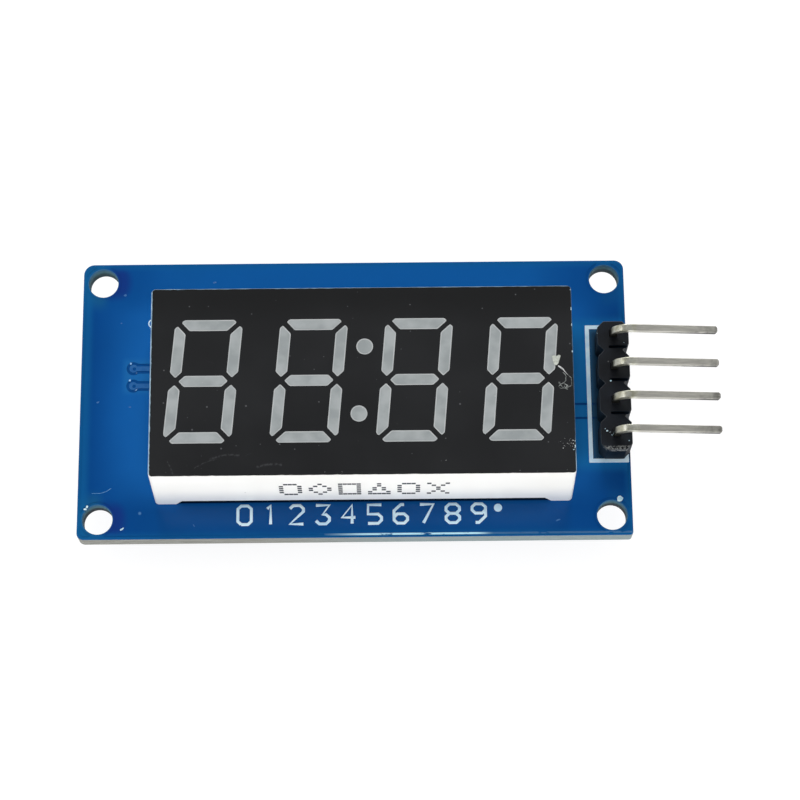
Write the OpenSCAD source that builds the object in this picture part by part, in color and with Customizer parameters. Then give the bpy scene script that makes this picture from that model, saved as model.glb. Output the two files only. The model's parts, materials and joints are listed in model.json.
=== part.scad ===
// Four digit seven segment display module: circuit board, LED display and four pin header.
// +Z points out through the display's face and +X towards the header.
// The origin is the centre of the mounting hole pattern, on the board's back face.

/* [Circuit board] */
// Length of the board, along X
board_l = 40.6; // [40:0.1:46]
// Width of the board, along Y
board_w = 21.3; // [21:0.1:27]
// Thickness of the board
board_t = 1.6; // [0.8:0.1:2]
// Radius of the board's corners
board_corner_r = 0.8; // [0.2:0.1:2]
// Diameter of the four mounting holes
mount_hole_d = 2.2; // [1.6:0.1:2.4]
// Distance from a mounting hole's centre to each of the two edges beside it
mount_hole_inset = 1.5; // [1.4:0.05:2]
// Gap between a soldered lead and the wall of its hole
lead_hole_gap = 0.2; // [0.1:0.05:0.3]

/* [Display body] */
// Length of the display's face, along X
display_l = 30.2; // [29.8:0.1:31]
// Width of the display's face, along Y
display_w = 14; // [13:0.1:15]
// Height of the display's face above the board, feet included
display_h = 7.2; // [6:0.1:9]
// Place of the display's centre from the board's centre, along X
display_x = 0.65; // [0:0.05:0.8]
// Place of the display's centre from the board's centre, along Y
display_y = -0.9; // [-1.2:0.05:0.4]
// Wall of the shell round its open back
shell_wall = 0.8; // [0.5:0.05:1]
// Radius of the shell's upright edges
shell_corner_r = 0.3; // [0.1:0.05:0.5]
// How far the base of the shell stands proud of its face on each side
base_proud = 0.15; // [0:0.05:0.3]
// Height of the shell's feet
foot_h = 0.8; // [0.5:0.1:1.3]
// Length of a foot along each wall, at its tip
foot_l = 1.55; // [1:0.05:2.5]
// Extra length of a foot at its root
foot_flare = 0.5; // [0:0.05:1]
// Thickness of the black layer on the face
face_t = 0.1; // [0.05:0.05:0.3]
// White rim of the shell that the black layer leaves bare
face_rim = 0.03; // [0.01:0.01:0.3]

/* [Inside the display] */
// Depth of the rear seal's surface inside the walls
seal_recess = 0.3; // [0.1:0.05:0.5]
// Thickness of the rear seal
seal_t = 1; // [0.6:0.1:1.3]
// Thickness of the substrate that carries the LED chips
substrate_t = 0.8; // [0.5:0.1:1]
// Gap round the substrate
substrate_gap = 0.1; // [0.05:0.05:0.2]
// Side of an LED chip
led_side = 0.3; // [0.2:0.05:0.4]
// Height of an LED chip
led_t = 0.12; // [0.08:0.02:0.2]

/* [Digits] */
// Height of a digit
digit_h = 9.2; // [8.6:0.05:9.6]
// Width of a digit over its upright segments
digit_w = 4.86; // [4.4:0.02:5.4]
// Distance from each end of the display to the digit beside it
digit_margin = 1.375; // [1:0.005:1.6]
// Lean of the digits
digit_slant = 5; // [0:0.5:8]
// Width of a segment
segment_w = 0.83; // [0.6:0.01:1]
// Gap between two segments that meet at a corner
segment_gap = 0.36; // [0.25:0.01:0.5]
// Corner cut off the segments at a digit's four outer corners
corner_cut = 0.2; // [0.1:0.01:0.3]
// Diameter of a colon dot
dot_d = 1.2; // [0.8:0.05:1.4]
// Distance between the two colon dots
dot_spacing = 5; // [3:0.1:6]
// Size of a funnel's throat, as a share of its mouth
throat_share = 0.6; // [0.55:0.05:1]

/* [Display pins] */
// Diameter of a display pin
pin_d = 0.5; // [0.4:0.05:0.6]
// Distance from one display pin to the next in a row
pin_pitch = 2.54; // [2.3:0.01:2.6]
// Distance between the two rows of display pins
pin_row_spacing = 10.16; // [10:0.01:10.4]
// Length of a display pin past the board's back
pin_reach = 2.6; // [2.5:0.1:4]
// Diameter of a display pin's solder cone on the board
pin_solder_d = 1.7; // [1.4:0.1:2]
// Height of a display pin's solder cone
pin_solder_h = 1.1; // [0.6:0.1:1.6]

/* [Header] */
// Distance from one header pin to the next
header_pitch = 2.54; // [2.5:0.01:2.6]
// Distance from the header's pins to the board's edge
header_edge = 1.2; // [1.15:0.05:1.6]
// Place of the header's middle from the board's centre, along Y
header_y = 0.15; // [-1:0.05:1]
// Height of the header's housing
housing_h = 2.54; // [2:0.02:3]
// Width of the header's housing
housing_w = 2.3; // [2:0.05:2.4]
// Corner cut of each cell of the housing
cell_cut = 0.46; // [0.2:0.02:0.6]
// Length that the housing's upper cell lacks, where the bar was snapped off
snap_loss = 0.3; // [0:0.05:0.5]
// Side of the header's square wire
wire = 0.5; // [0.4:0.02:0.64]
// Length of straight wire between the housing and the bend
bend_rise = 0.2; // [0:0.05:0.6]
// Radius of the bend, at the middle of the wire
bend_r = 1; // [0.6:0.05:1.5]
// Angle by which the bent wire drops towards its tip
wire_droop = 6; // [0:1:8]
// Distance from the board's edge to the wire's tip
wire_reach = 6.4; // [5:0.1:9]
// Length of the wire's tail past the board's back
wire_tail = 1.8; // [1:0.1:2.4]
// Bevel at the wire's tips
tip_bevel = 0.12; // [0.05:0.01:0.15]
// Diameter of a header pin's solder cone on the board
wire_solder_d = 1.9; // [1.5:0.1:2.1]
// Height of a header pin's solder cone
wire_solder_h = 1; // [0.6:0.1:1]

/* [Driver chip] */
// Place of the driver chip's centre along X
driver_x = -12.2; // [-12.4:0.1:-11.9]
// Place of the driver chip's centre along Y
driver_y = -0.16; // [-0.5:0.02:0.5]
// Length of the driver chip's body, along Y
driver_l = 12.8; // [12.4:0.1:13]
// Width of the driver chip's body, along X
driver_w = 7.5; // [7.2:0.05:7.6]
// Height of the driver chip's body
driver_h = 2.25; // [1.8:0.05:2.3]
// Gap between the driver chip's body and the board
driver_standoff = 0.12; // [0.08:0.02:0.2]
// Draft of the body's walls, from the parting band to the top and bottom
driver_draft = 0.15; // [0.05:0.01:0.3]
// Diameter of the dimple that marks the first lead
dimple_d = 1; // [0.6:0.1:1.5]
// Distance from one lead of the driver chip to the next
lead_pitch = 1.27; // [1.2:0.01:1.27]
// Width of a lead
lead_w = 0.4; // [0.3:0.02:0.5]
// Thickness of a lead
lead_t = 0.25; // [0.15:0.01:0.3]
// Width over the two rows of leads
lead_span = 10.3; // [10:0.05:10.6]
// Length of a lead's foot on the board
lead_foot = 0.8; // [0.5:0.05:0.9]

/* [Resistors and capacitors] */
// Length of a resistor or capacitor
passive_l = 1.6; // [1.2:0.05:2]
// Width of a resistor or capacitor
passive_w = 0.8; // [0.6:0.05:1.25]
// Height of a resistor
resistor_h = 0.45; // [0.35:0.05:0.6]
// Height of a capacitor
capacitor_h = 0.8; // [0.5:0.05:1]
// Length of the metal cap at each end
terminal_l = 0.3; // [0.2:0.05:0.4]

/* [Hidden] */
segment_names = ["a", "b", "c", "d", "e", "f", "g"];
digit_count = 4;
digits = [1 : digit_count];
pins_per_row = 6;
display_pins = [1 : 2 * pins_per_row];
pin_count = 4;
header_pins = [1 : pin_count];
leads_per_side = 10;

// How far a cutting shape runs past the face that it cuts
cut_past = 0.5;
// How far the metal caps of the small parts stand proud of their bodies
cap_proud = 0.03;
dimple_depth = 0.1;
// How far a lead's leg leans out from the body down to its foot
leg_lean = 0.1;

// Heights inside the display, above the board
seal_z = foot_h + seal_recess;
substrate_z = seal_z + seal_t;
reflector_z = substrate_z + substrate_t;
funnel_h = display_h - reflector_z;

// Outer size of the shell at its feet
base_l = display_l + 2 * base_proud;
base_w = display_w + 2 * base_proud;

// Distance from one digit to the next
digit_pitch = (display_l - 2 * digit_margin - digit_w) / (digit_count - 1);

// Half sizes of a digit, and the gap between segments as measured along X or Y
half_w = digit_w / 2;
half_h = digit_h / 2;
gap = segment_gap / sqrt(2);

header_x = board_l / 2 - header_edge;
header_l = pin_count * header_pitch;
bend_z = board_t + housing_h + bend_rise;
lead_hole_d = pin_d + 2 * lead_hole_gap;
wire_hole_d = wire * sqrt(2) + 2 * lead_hole_gap;

// Places of the small parts on the board's back, from the board's centre
resistor_places = [[13.6, 1.6], [13.6, -1.6]];
capacitor_places = [[10.4, 1.6], [10.4, -1.6], [-2.6, -0.9]];

$fn = 48;

// Points and places

function lean(p) = [p.x + p.y * tan(digit_slant), p.y];
function middle(points) = (min(points) + max(points)) / 2;
function centre(points) = [middle([for (p = points) p.x]), middle([for (p = points) p.y])];
function reversed(points) = [for (i = [len(points) - 1 : -1 : 0]) points[i]];
function flipped(points, sx, sy) = [for (p = points) [sx * p.x, sy * p.y]];

// Outlines of the top bar, the upper right upright and the middle bar of a digit
top_right = [
    [half_w - gap - 2 * corner_cut, half_h],
    [half_w - gap - corner_cut, half_h - corner_cut],
    [half_w - gap - segment_w, half_h - segment_w]
];
top_bar = concat(top_right, reversed(flipped(top_right, -1, 1)));
upright = [
    [half_w, half_h - gap - 2 * corner_cut],
    [half_w - corner_cut, half_h - gap - corner_cut],
    [half_w - segment_w, half_h - gap - segment_w],
    [half_w - segment_w, gap + segment_w / 2],
    [half_w - segment_w / 2, gap],
    [half_w, gap + segment_w / 2]
];
bar_right = [
    [half_w - gap - segment_w, segment_w / 2],
    [half_w - gap - segment_w / 2, 0],
    [half_w - gap - segment_w, -segment_w / 2]
];
middle_bar = concat(bar_right, flipped(bar_right, -1, -1));

// Outline of a segment in its digit's own frame, before the digits lean
function upright_outline(name) =
    name == "a" ? top_bar :
    name == "b" ? upright :
    name == "c" ? flipped(upright, 1, -1) :
    name == "d" ? flipped(top_bar, 1, -1) :
    name == "e" ? flipped(upright, -1, -1) :
    name == "f" ? flipped(upright, -1, 1) :
    middle_bar;

function segment_outline(name) = [for (p = upright_outline(name)) lean(p)];

function digit_offset(d) = (d - (digit_count + 1) / 2) * digit_pitch;
function dot_place(side) = lean([0, side * dot_spacing / 2]);

// Display pins count along the lower row from the left, and back along the upper row
function pin_place(p) =
    let (along = p <= pins_per_row ? p - 1 : 2 * pins_per_row - p)
    [
        display_x + (along - (pins_per_row - 1) / 2) * pin_pitch,
        display_y + (p <= pins_per_row ? -1 : 1) * pin_row_spacing / 2
    ];

// Header pins count from the top edge of the board downwards
function wire_place(p) = [header_x, header_y + ((pin_count + 1) / 2 - p) * header_pitch];

// Shared shapes

module rounded_rect(l, w, r) {
    square([l - 2 * r, w], center = true);
    square([l, w - 2 * r], center = true);
    for (x = [-1, 1], y = [-1, 1])
        translate([x * (l / 2 - r), y * (w / 2 - r)]) circle(r);
}

module on_display() {
    translate([display_x, display_y, board_t]) children();
}

module on_back(place) {
    translate([place.x, place.y, 0]) mirror([0, 0, 1]) children();
}

// One light funnel, from its throat on the substrate up to the face
module segment_funnel(d, name) {
    outline = segment_outline(name);
    c = centre(outline);
    translate([digit_offset(d) + c.x, c.y, reflector_z])
        linear_extrude(height = funnel_h, scale = 1 / throat_share)
            polygon([for (p = outline) throat_share * (p - c)]);
}

module dot_funnel(side) {
    translate(concat(dot_place(side), [reflector_z]))
        cylinder(h = funnel_h, d1 = dot_d * throat_share, d2 = dot_d);
}

module all_funnels() {
    for (d = digits, s = segment_names) segment_funnel(d, s);
    for (side = [-1, 1]) dot_funnel(side);
}

module led_at(place) {
    translate([place.x - led_side / 2, place.y - led_side / 2, reflector_z])
        cube([led_side, led_side, led_t]);
}

// A solder joint: it fills the lead's hole and ends in a hollow cone on the board's back
module solder_joint(hole_d, cone_d, cone_h) {
    rim_r = cone_d / 2;
    steps = 5;
    cone = [for (i = [0 : steps]) [rim_r * pow(1 - i / steps, 1.7), -cone_h * i / steps]];
    rotate_extrude()
        polygon(concat([[0, board_t], [hole_d / 2, board_t], [hole_d / 2, 0]], cone));
}

// Sub-parts

module circuit_board() {
    color("#125a9c")
        linear_extrude(board_t)
            difference() {
                rounded_rect(board_l, board_w, board_corner_r);
                for (x = [-1, 1], y = [-1, 1])
                    translate([x * (board_l / 2 - mount_hole_inset), y * (board_w / 2 - mount_hole_inset)])
                        circle(d = mount_hole_d);
                for (p = display_pins) translate(pin_place(p)) circle(d = lead_hole_d);
                for (p = header_pins) translate(wire_place(p)) circle(d = wire_hole_d);
            }
}

// The walls stop short of the board between the feet, along all four sides
module foot_gap(wall_l, across) {
    tip = wall_l / 2 - foot_l;
    root = tip - foot_flare;
    rotate([90, 0, 0])
        linear_extrude(across + 2 * cut_past, center = true)
            polygon([[-tip, -cut_past], [tip, -cut_past], [tip, 0], [root, foot_h], [-root, foot_h], [-tip, 0]]);
}

module display_shell() {
    color("#f1f2f0")
        on_display()
            difference() {
                linear_extrude(display_h - face_t, slices = 1, scale = [display_l / base_l, display_w / base_w])
                    rounded_rect(base_l, base_w, shell_corner_r);
                translate([0, 0, -cut_past])
                    linear_extrude(reflector_z + cut_past)
                        square([display_l - 2 * shell_wall, display_w - 2 * shell_wall], center = true);
                all_funnels();
                foot_gap(base_l, base_w);
                rotate([0, 0, 90]) foot_gap(base_w, base_l);
            }
}

module face_layer() {
    color("#26272a")
        on_display()
            difference() {
                translate([0, 0, display_h - face_t])
                    linear_extrude(face_t)
                        rounded_rect(display_l - 2 * face_rim, display_w - 2 * face_rim, shell_corner_r);
                all_funnels();
            }
}

module digit_segment(d, name) {
    c = centre(segment_outline(name));
    color("#a4a9ab")
        on_display()
            difference() {
                segment_funnel(d, name);
                led_at([digit_offset(d) + c.x, c.y]);
            }
}

module colon_dot(side) {
    color("#a4a9ab")
        on_display()
            difference() {
                dot_funnel(side);
                led_at(dot_place(side));
            }
}

// A plate inside the shell that all the display pins pass through
module pierced_plate(z, thickness, gap_round) {
    difference() {
        on_display()
            translate([0, 0, z])
                linear_extrude(thickness)
                    square(
                        [display_l - 2 * (shell_wall + gap_round), display_w - 2 * (shell_wall + gap_round)],
                        center = true
                    );
        for (p = display_pins) translate([0, 0, cut_past]) pin_wire(p);
    }
}

module led_substrate() {
    color("#c9b37a") pierced_plate(substrate_z, substrate_t, substrate_gap);
}

module rear_seal() {
    color("#d9d8cf") pierced_plate(seal_z, seal_t, 0);
}

module led_chips() {
    color("#d8c04a")
        on_display() {
            for (d = digits, s = segment_names) {
                c = centre(segment_outline(s));
                led_at([digit_offset(d) + c.x, c.y]);
            }
            for (side = [-1, 1]) led_at(dot_place(side));
        }
}

module pin_wire(p) {
    translate(concat(pin_place(p), [-pin_reach]))
        cylinder(h = pin_reach + board_t + reflector_z, d = pin_d);
}

module display_pin(p) {
    color("#b9b9b4") pin_wire(p);
}

module display_solder() {
    color("#c4c6c8")
        for (p = display_pins)
            difference() {
                translate(pin_place(p)) solder_joint(lead_hole_d, pin_solder_d, pin_solder_h);
                pin_wire(p);
            }
}

// Square wire along +X from the origin, bevelled at its far end on all four sides
module bevelled_wire(l) {
    side = [
        [0, -wire / 2], [l - tip_bevel, -wire / 2], [l, tip_bevel - wire / 2],
        [l, wire / 2 - tip_bevel], [l - tip_bevel, wire / 2], [0, wire / 2]
    ];
    intersection() {
        linear_extrude(wire, center = true) polygon(side);
        rotate([90, 0, 0]) linear_extrude(wire, center = true) polygon(side);
    }
}

// The part of a ring that turns the wire from upright to its drooping run, with a short straight
// piece at each end that lies inside the leg and inside the run
module wire_bend() {
    turn = 90 + wire_droop;
    outer = bend_r + wire / 2;
    far = 2 * outer;
    rotate([90, 0, 0])
        linear_extrude(wire, center = true) {
            intersection() {
                difference() {
                    circle(outer);
                    circle(bend_r - wire / 2);
                }
                polygon([[0, 0], [-far, 0], [-far, far], far * [cos(180 - turn), sin(180 - turn)]]);
            }
            translate([-outer, -wire]) square(wire);
            rotate(-wire_droop) translate([0, bend_r - wire / 2]) square(wire);
        }
}

module wire_leg(p) {
    translate(concat(wire_place(p), [bend_z])) rotate([0, 90, 0]) bevelled_wire(bend_z + wire_tail);
}

module header_pin(p) {
    run_start = [bend_r + bend_r * sin(wire_droop), bend_r * cos(wire_droop)];
    run_l = (header_edge + wire_reach - run_start.x) / cos(wire_droop);
    color("#a9a89f") {
        wire_leg(p);
        translate(concat(wire_place(p), [bend_z])) {
            translate([bend_r, 0, 0]) wire_bend();
            translate([run_start.x, 0, run_start.y]) rotate([0, wire_droop, 0]) bevelled_wire(run_l);
        }
    }
}

module header_housing() {
    upper_end = header_l / 2 - snap_loss;
    right = concat(
        [
            for (p = header_pins)
                let (
                    low = (p - 1) * header_pitch - header_l / 2,
                    high = p < pin_count ? low + header_pitch : upper_end
                )
                each [
                    [housing_w / 2 - cell_cut, low],
                    [housing_w / 2, low + cell_cut],
                    [housing_w / 2, high - cell_cut]
                ]
        ],
        [[housing_w / 2 - cell_cut, upper_end]]
    );
    color("#1d1f22")
        difference() {
            translate([header_x, header_y, board_t])
                linear_extrude(housing_h) polygon(concat(right, reversed(flipped(right, -1, 1))));
            for (p = header_pins) wire_leg(p);
        }
}

module header_solder() {
    color("#c4c6c8")
        for (p = header_pins)
            difference() {
                translate(wire_place(p)) solder_joint(wire_hole_d, wire_solder_d, wire_solder_h);
                wire_leg(p);
            }
}

// Side view of the chip's body across a width, with a straight band where the leads come out
function body_profile(w) =
    let (
        half = w / 2,
        low = (driver_h - lead_t) / 2,
        quarter = [
            [half - driver_draft, 0],
            [half, low],
            [half, low + lead_t],
            [half - driver_draft, driver_h]
        ]
    )
    concat(quarter, reversed(flipped(quarter, -1, 1)));

module driver_chip() {
    color("#2b2c2e")
        on_back([driver_x, driver_y])
            translate([0, 0, driver_standoff])
                difference() {
                    intersection() {
                        rotate([90, 0, 0])
                            linear_extrude(driver_l, center = true) polygon(body_profile(driver_w));
                        rotate([90, 0, 90])
                            linear_extrude(driver_w, center = true) polygon(body_profile(driver_l));
                    }
                    translate([dimple_d - driver_w / 2, driver_l / 2 - dimple_d, driver_h - dimple_depth])
                        cylinder(h = dimple_depth + cut_past, d = dimple_d);
                }
}

module driver_lead() {
    foot = lead_span / 2 - lead_foot;
    knee = foot - leg_lean;
    band = driver_standoff + (driver_h - lead_t) / 2;
    rotate([90, 0, 0])
        linear_extrude(lead_w, center = true)
            polygon([
                [driver_w / 2, band], [knee, band], [foot, 0], [lead_span / 2, 0],
                [lead_span / 2, lead_t], [foot + lead_t, lead_t],
                [knee + lead_t, band + lead_t], [driver_w / 2, band + lead_t]
            ]);
}

module driver_leads() {
    color("#b4b6b8")
        on_back([driver_x, driver_y])
            for (i = [1 : leads_per_side], turn = [0, 180])
                rotate([0, 0, turn])
                    translate([0, (i - (leads_per_side + 1) / 2) * lead_pitch, 0]) driver_lead();
}

// A resistor or capacitor: a ceramic body between two metal caps that stand slightly proud of it
module passive(h) {
    translate([0, 0, (h - cap_proud) / 2])
        cube([passive_l - terminal_l, passive_w - 2 * cap_proud, h - cap_proud], center = true);
    for (side = [-1, 1])
        translate([side * (passive_l - terminal_l) / 2, 0, h / 2])
            cube([terminal_l, passive_w, h], center = true);
}

module pull_up_resistors() {
    color("#1c1c1e") for (place = resistor_places) on_back(place) passive(resistor_h);
}

module capacitors() {
    color("#b09370") for (place = capacitor_places) on_back(place) passive(capacitor_h);
}

circuit_board();
display_shell();
face_layer();
for (d = digits, s = segment_names)
    digit_segment(d, s);
colon_dot(1);  // colon_dot_upper
colon_dot(-1);  // colon_dot_lower
led_substrate();
led_chips();
rear_seal();
for (p = display_pins)
    display_pin(p);
display_solder();
header_housing();
for (p = header_pins)
    header_pin(p);
header_solder();
driver_chip();
driver_leads();
pull_up_resistors();
capacitors();
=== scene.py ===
import json
import math
import random
import bpy
from mathutils import Matrix, Vector


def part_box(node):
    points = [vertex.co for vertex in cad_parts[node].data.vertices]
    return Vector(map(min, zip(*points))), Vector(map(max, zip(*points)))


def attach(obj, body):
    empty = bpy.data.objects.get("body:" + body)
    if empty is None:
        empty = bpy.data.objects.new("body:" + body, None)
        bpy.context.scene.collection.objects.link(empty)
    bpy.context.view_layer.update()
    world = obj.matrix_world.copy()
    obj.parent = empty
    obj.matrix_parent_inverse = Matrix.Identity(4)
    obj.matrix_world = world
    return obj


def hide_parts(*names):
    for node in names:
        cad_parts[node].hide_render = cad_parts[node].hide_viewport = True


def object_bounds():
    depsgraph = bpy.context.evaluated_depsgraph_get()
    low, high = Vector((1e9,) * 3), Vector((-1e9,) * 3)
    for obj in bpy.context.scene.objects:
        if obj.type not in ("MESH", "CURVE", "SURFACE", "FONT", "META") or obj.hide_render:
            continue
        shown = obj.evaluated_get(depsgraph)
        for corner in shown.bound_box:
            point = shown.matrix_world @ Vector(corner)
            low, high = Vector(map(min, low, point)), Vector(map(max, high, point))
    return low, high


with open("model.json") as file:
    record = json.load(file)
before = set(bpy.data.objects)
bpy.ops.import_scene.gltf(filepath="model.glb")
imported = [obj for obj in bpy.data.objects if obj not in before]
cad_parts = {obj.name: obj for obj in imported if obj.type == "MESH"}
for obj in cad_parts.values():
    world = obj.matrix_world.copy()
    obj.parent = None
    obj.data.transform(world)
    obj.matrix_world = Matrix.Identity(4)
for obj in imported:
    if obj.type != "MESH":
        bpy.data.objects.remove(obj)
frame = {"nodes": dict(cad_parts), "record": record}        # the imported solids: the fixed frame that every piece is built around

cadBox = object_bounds()
mm = 0.001               # pieces are modelled in millimetres and brought to metres when they are done


def tone(code):          # a hex colour as the linear values that shaders take
    parts = [int(code[i:i + 2], 16) / 255 for i in (0, 2, 4)]
    return tuple(p / 12.92 if p <= 0.04045 else ((p + 0.055) / 1.055) ** 2.4 for p in parts) + (1.0,)


def boxOf(node):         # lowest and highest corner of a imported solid, in millimetres
    low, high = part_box(node)
    return low / mm, high / mm


def middleOf(node):
    low, high = boxOf(node)
    return (low + high) / 2


def link(item):          # puts a new object into the scene
    bpy.context.scene.collection.objects.link(item)
    return item


def takeUp(*pieces):     # only these pieces are selected, and the first is active
    if bpy.context.object and bpy.context.object.mode != "OBJECT":
        bpy.ops.object.mode_set(mode="OBJECT")
    bpy.ops.object.select_all(action="DESELECT")
    for piece in pieces:
        piece.select_set(True)
    bpy.context.view_layer.objects.active = pieces[0]


def named(name):         # names the primitive that was just added
    piece = bpy.context.object
    piece.name = piece.data.name = name
    return piece


def openFor(piece, kind, test):      # edit mode, with the faces, edges or points that pass the test selected
    takeUp(piece)
    mesh = piece.data
    bpy.context.tool_settings.mesh_select_mode = (kind == "points", kind == "edges", kind == "faces")
    for group in (mesh.vertices, mesh.edges, mesh.polygons):
        group.foreach_set("select", [False] * len(group))
    for item in {"points": mesh.vertices, "edges": mesh.edges, "faces": mesh.polygons}[kind]:
        item.select = bool(test(item))
    bpy.ops.object.mode_set(mode="EDIT")


def close():             # leaves edit mode
    bpy.ops.object.mode_set(mode="OBJECT")


def everything(item):
    return True


def facing(x, y, z):     # faces whose normal points that way
    way = Vector((x, y, z))
    return lambda face: face.normal.dot(way) > 0.99


def along(piece, edge):  # from one end of an edge to the other
    first, last = (piece.data.vertices[v].co for v in edge.vertices)
    return first - last


def standing(piece):     # upright edges
    return lambda edge: abs(along(piece, edge).normalized().z) > 0.99


def shut(piece):         # merges doubles, turns all faces outwards and leaves edit mode
    takeUp(piece)
    bpy.ops.object.mode_set(mode="EDIT")
    bpy.ops.mesh.select_all(action="SELECT")
    bpy.ops.mesh.remove_doubles(threshold=0.0005)
    bpy.ops.mesh.normals_make_consistent(inside=False)
    close()
    return piece


def settle(piece):       # puts place, turn and size into the mesh
    takeUp(piece)
    bpy.ops.object.transform_apply(location=True, rotation=True, scale=True)
    return piece


def pull(way):           # extrudes what is selected
    bpy.ops.mesh.extrude_region_move(TRANSFORM_OT_translate={"value": way})


def squeeze(shares, centre):         # scales what is selected along the three axes, about a point
    bpy.ops.transform.resize(value=shares, center_override=centre)


def clearInside():       # deletes the faces that extruding and spinning leave inside
    bpy.ops.mesh.select_all(action="DESELECT")
    bpy.ops.mesh.select_interior_faces()
    bpy.ops.mesh.delete(type="FACE")


def addBlock(name, low, high):
    bpy.ops.mesh.primitive_cube_add(size=1, location=(Vector(low) + Vector(high)) / 2)
    piece = named(name)
    piece.scale = Vector(high) - Vector(low)
    return settle(piece)


def addRod(name, x, y, radius, low, high, sides=32):
    bpy.ops.mesh.primitive_cylinder_add(vertices=sides, radius=radius, depth=high - low,
                                        location=(x, y, (low + high) / 2))
    return settle(named(name))


def addDisc(name, radius, sides, height=0, place=(0, 0), turn=0):        # a flat round face
    bpy.ops.mesh.primitive_circle_add(vertices=sides, radius=radius, fill_type="NGON",
                                      location=(*place, height), rotation=(0, 0, turn))
    return settle(named(name))


def addSheet(name, low, high, cornerRound=0, steps=6):   # a flat outline with round corners, at the lower height
    bpy.ops.mesh.primitive_plane_add(size=1, location=((low[0] + high[0]) / 2, (low[1] + high[1]) / 2, low[2]))
    piece = named(name)
    piece.scale = (high[0] - low[0], high[1] - low[1], 1)
    settle(piece)
    if cornerRound:
        openFor(piece, "points", everything)
        bpy.ops.mesh.bevel(affect="VERTICES", offset=cornerRound, segments=steps)
        close()
    return piece


def raiseUp(piece, height):          # a flat outline gets its thickness
    openFor(piece, "faces", everything)
    pull((0, 0, height))
    return shut(piece)


def addPlate(name, low, high, cornerRound=0, steps=6):
    return raiseUp(addSheet(name, low, high, cornerRound, steps), high[2] - low[2])


def join(name, pieces):
    takeUp(*pieces)
    if len(pieces) > 1:
        bpy.ops.object.join()
    return named(name)


def copyOf(piece, name, shift=(0, 0, 0), turn=0):        # a copy with its own mesh, turned about Z and moved
    other = piece.copy()
    other.data = piece.data.copy()
    other.name = other.data.name = name
    other.data.transform(Matrix.Translation(Vector(shift)) @ Matrix.Rotation(turn, 4, "Z"))
    return link(other)


def spread(model, name, places):     # copies of a model at all places, joined in one piece
    copies = [copyOf(model, "copy", (*place, 0)) for place in places]
    bpy.data.objects.remove(model)
    return join(name, copies)


def combine(piece, other, how="DIFFERENCE"):
    takeUp(piece)
    tool = piece.modifiers.new("combine", "BOOLEAN")
    tool.operation = how
    tool.solver = "EXACT"
    tool.object = other
    bpy.ops.object.modifier_apply(modifier=tool.name)
    bpy.data.objects.remove(other)
    return piece


def soften(piece, width, steps=2, angle=30):             # rounds the sharp edges
    takeUp(piece)
    tool = piece.modifiers.new("soften", "BEVEL")
    tool.width = width
    tool.segments = steps
    tool.limit_method = "ANGLE"
    tool.angle_limit = math.radians(angle)
    bpy.ops.object.modifier_apply(modifier=tool.name)
    return piece


def smooth(piece, angle=35):         # round faces shade smoothly, and large flat faces stay flat
    takeUp(piece)
    bpy.ops.object.shade_smooth_by_angle(angle=math.radians(angle))
    tool = piece.modifiers.new("even", "WEIGHTED_NORMAL")
    tool.keep_sharp = True
    bpy.ops.object.modifier_apply(modifier=tool.name)
    return piece


def addLines(name, paths, radius, flat, height, sides=1):        # round lines along points, pressed flat on a height
    curve = bpy.data.curves.new(name, "CURVE")
    curve.dimensions = "3D"
    curve.bevel_depth = radius
    curve.bevel_resolution = sides
    curve.use_fill_caps = True
    for path in paths:               # a point may say how thick the line is there
        line = curve.splines.new("POLY")
        line.points.add(len(path) - 1)
        for point, place in zip(line.points, path):
            point.co = (place[0], place[1], 0, 1)
            point.radius = place[2] if len(place) > 2 else 1
    takeUp(link(bpy.data.objects.new(name, curve)))
    bpy.ops.object.convert(target="MESH")
    piece = named(name)
    piece.scale = (1, 1, flat)
    piece.location.z = height
    return smooth(shut(settle(piece)), 60)


def dress(piece, *names):            # the named finishes take the place of the piece's materials, in order
    kept = [face.material_index for face in piece.data.polygons]
    piece.data.materials.clear()
    for name in names:
        piece.data.materials.append(finishes[name])
    for face, index in zip(piece.data.polygons, kept):
        face.material_index = min(index, len(names) - 1)
    return piece


def paint(piece, index, test):       # faces that pass the test take that finish
    for face in piece.data.polygons:
        if test(face):
            face.material_index = index
    return piece


def done(piece, slotName, *nodes):   # to metres, riding on the part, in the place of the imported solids
    piece.scale = (mm, mm, mm)
    settle(piece)
    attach(piece, "root")
    if nodes:
        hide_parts(*nodes)
    return piece


def handOut(model, places, pieceName, nodeName, finish, slotName):       # a model made at the first place goes to all
    for number, place in enumerate(places, 1):
        piece = copyOf(model, pieceName % number, (*(place - places[0]), 0))
        done(dress(piece, finish), slotName, nodeName % number)
    bpy.data.objects.remove(model)


def addNode(tree, kind, inputs, **settings):             # an input is a value, or another node's output to link
    node = tree.nodes.new(kind)
    for key, value in settings.items():
        setattr(node, key, value)
    for key, value in inputs.items():
        if isinstance(value, bpy.types.NodeSocket):
            tree.links.new(value, node.inputs[key])
        else:
            node.inputs[key].default_value = value
    return node


def calc(tree, kind, a, b=0.0, clamp=False):
    return addNode(tree, "ShaderNodeMath", {0: a, 1: b}, operation=kind, use_clamp=clamp).outputs[0]


def times(tree, first, *others):
    for other in others:
        first = calc(tree, "MULTIPLY", first, other)
    return first


def apart(tree, a, b):
    return calc(tree, "ABSOLUTE", calc(tree, "SUBTRACT", a, b))


def fade(tree, value, start, end, kind="SMOOTHSTEP"):    # 0 at start, 1 at end, held between
    return addNode(tree, "ShaderNodeMapRange", {"Value": value, "From Min": start, "From Max": end},
                   interpolation_type=kind).outputs[0]


def blendTones(tree, share, first, second):
    return addNode(tree, "ShaderNodeMix", {0: share, 6: first, 7: second}, data_type="RGBA").outputs[2]


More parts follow.
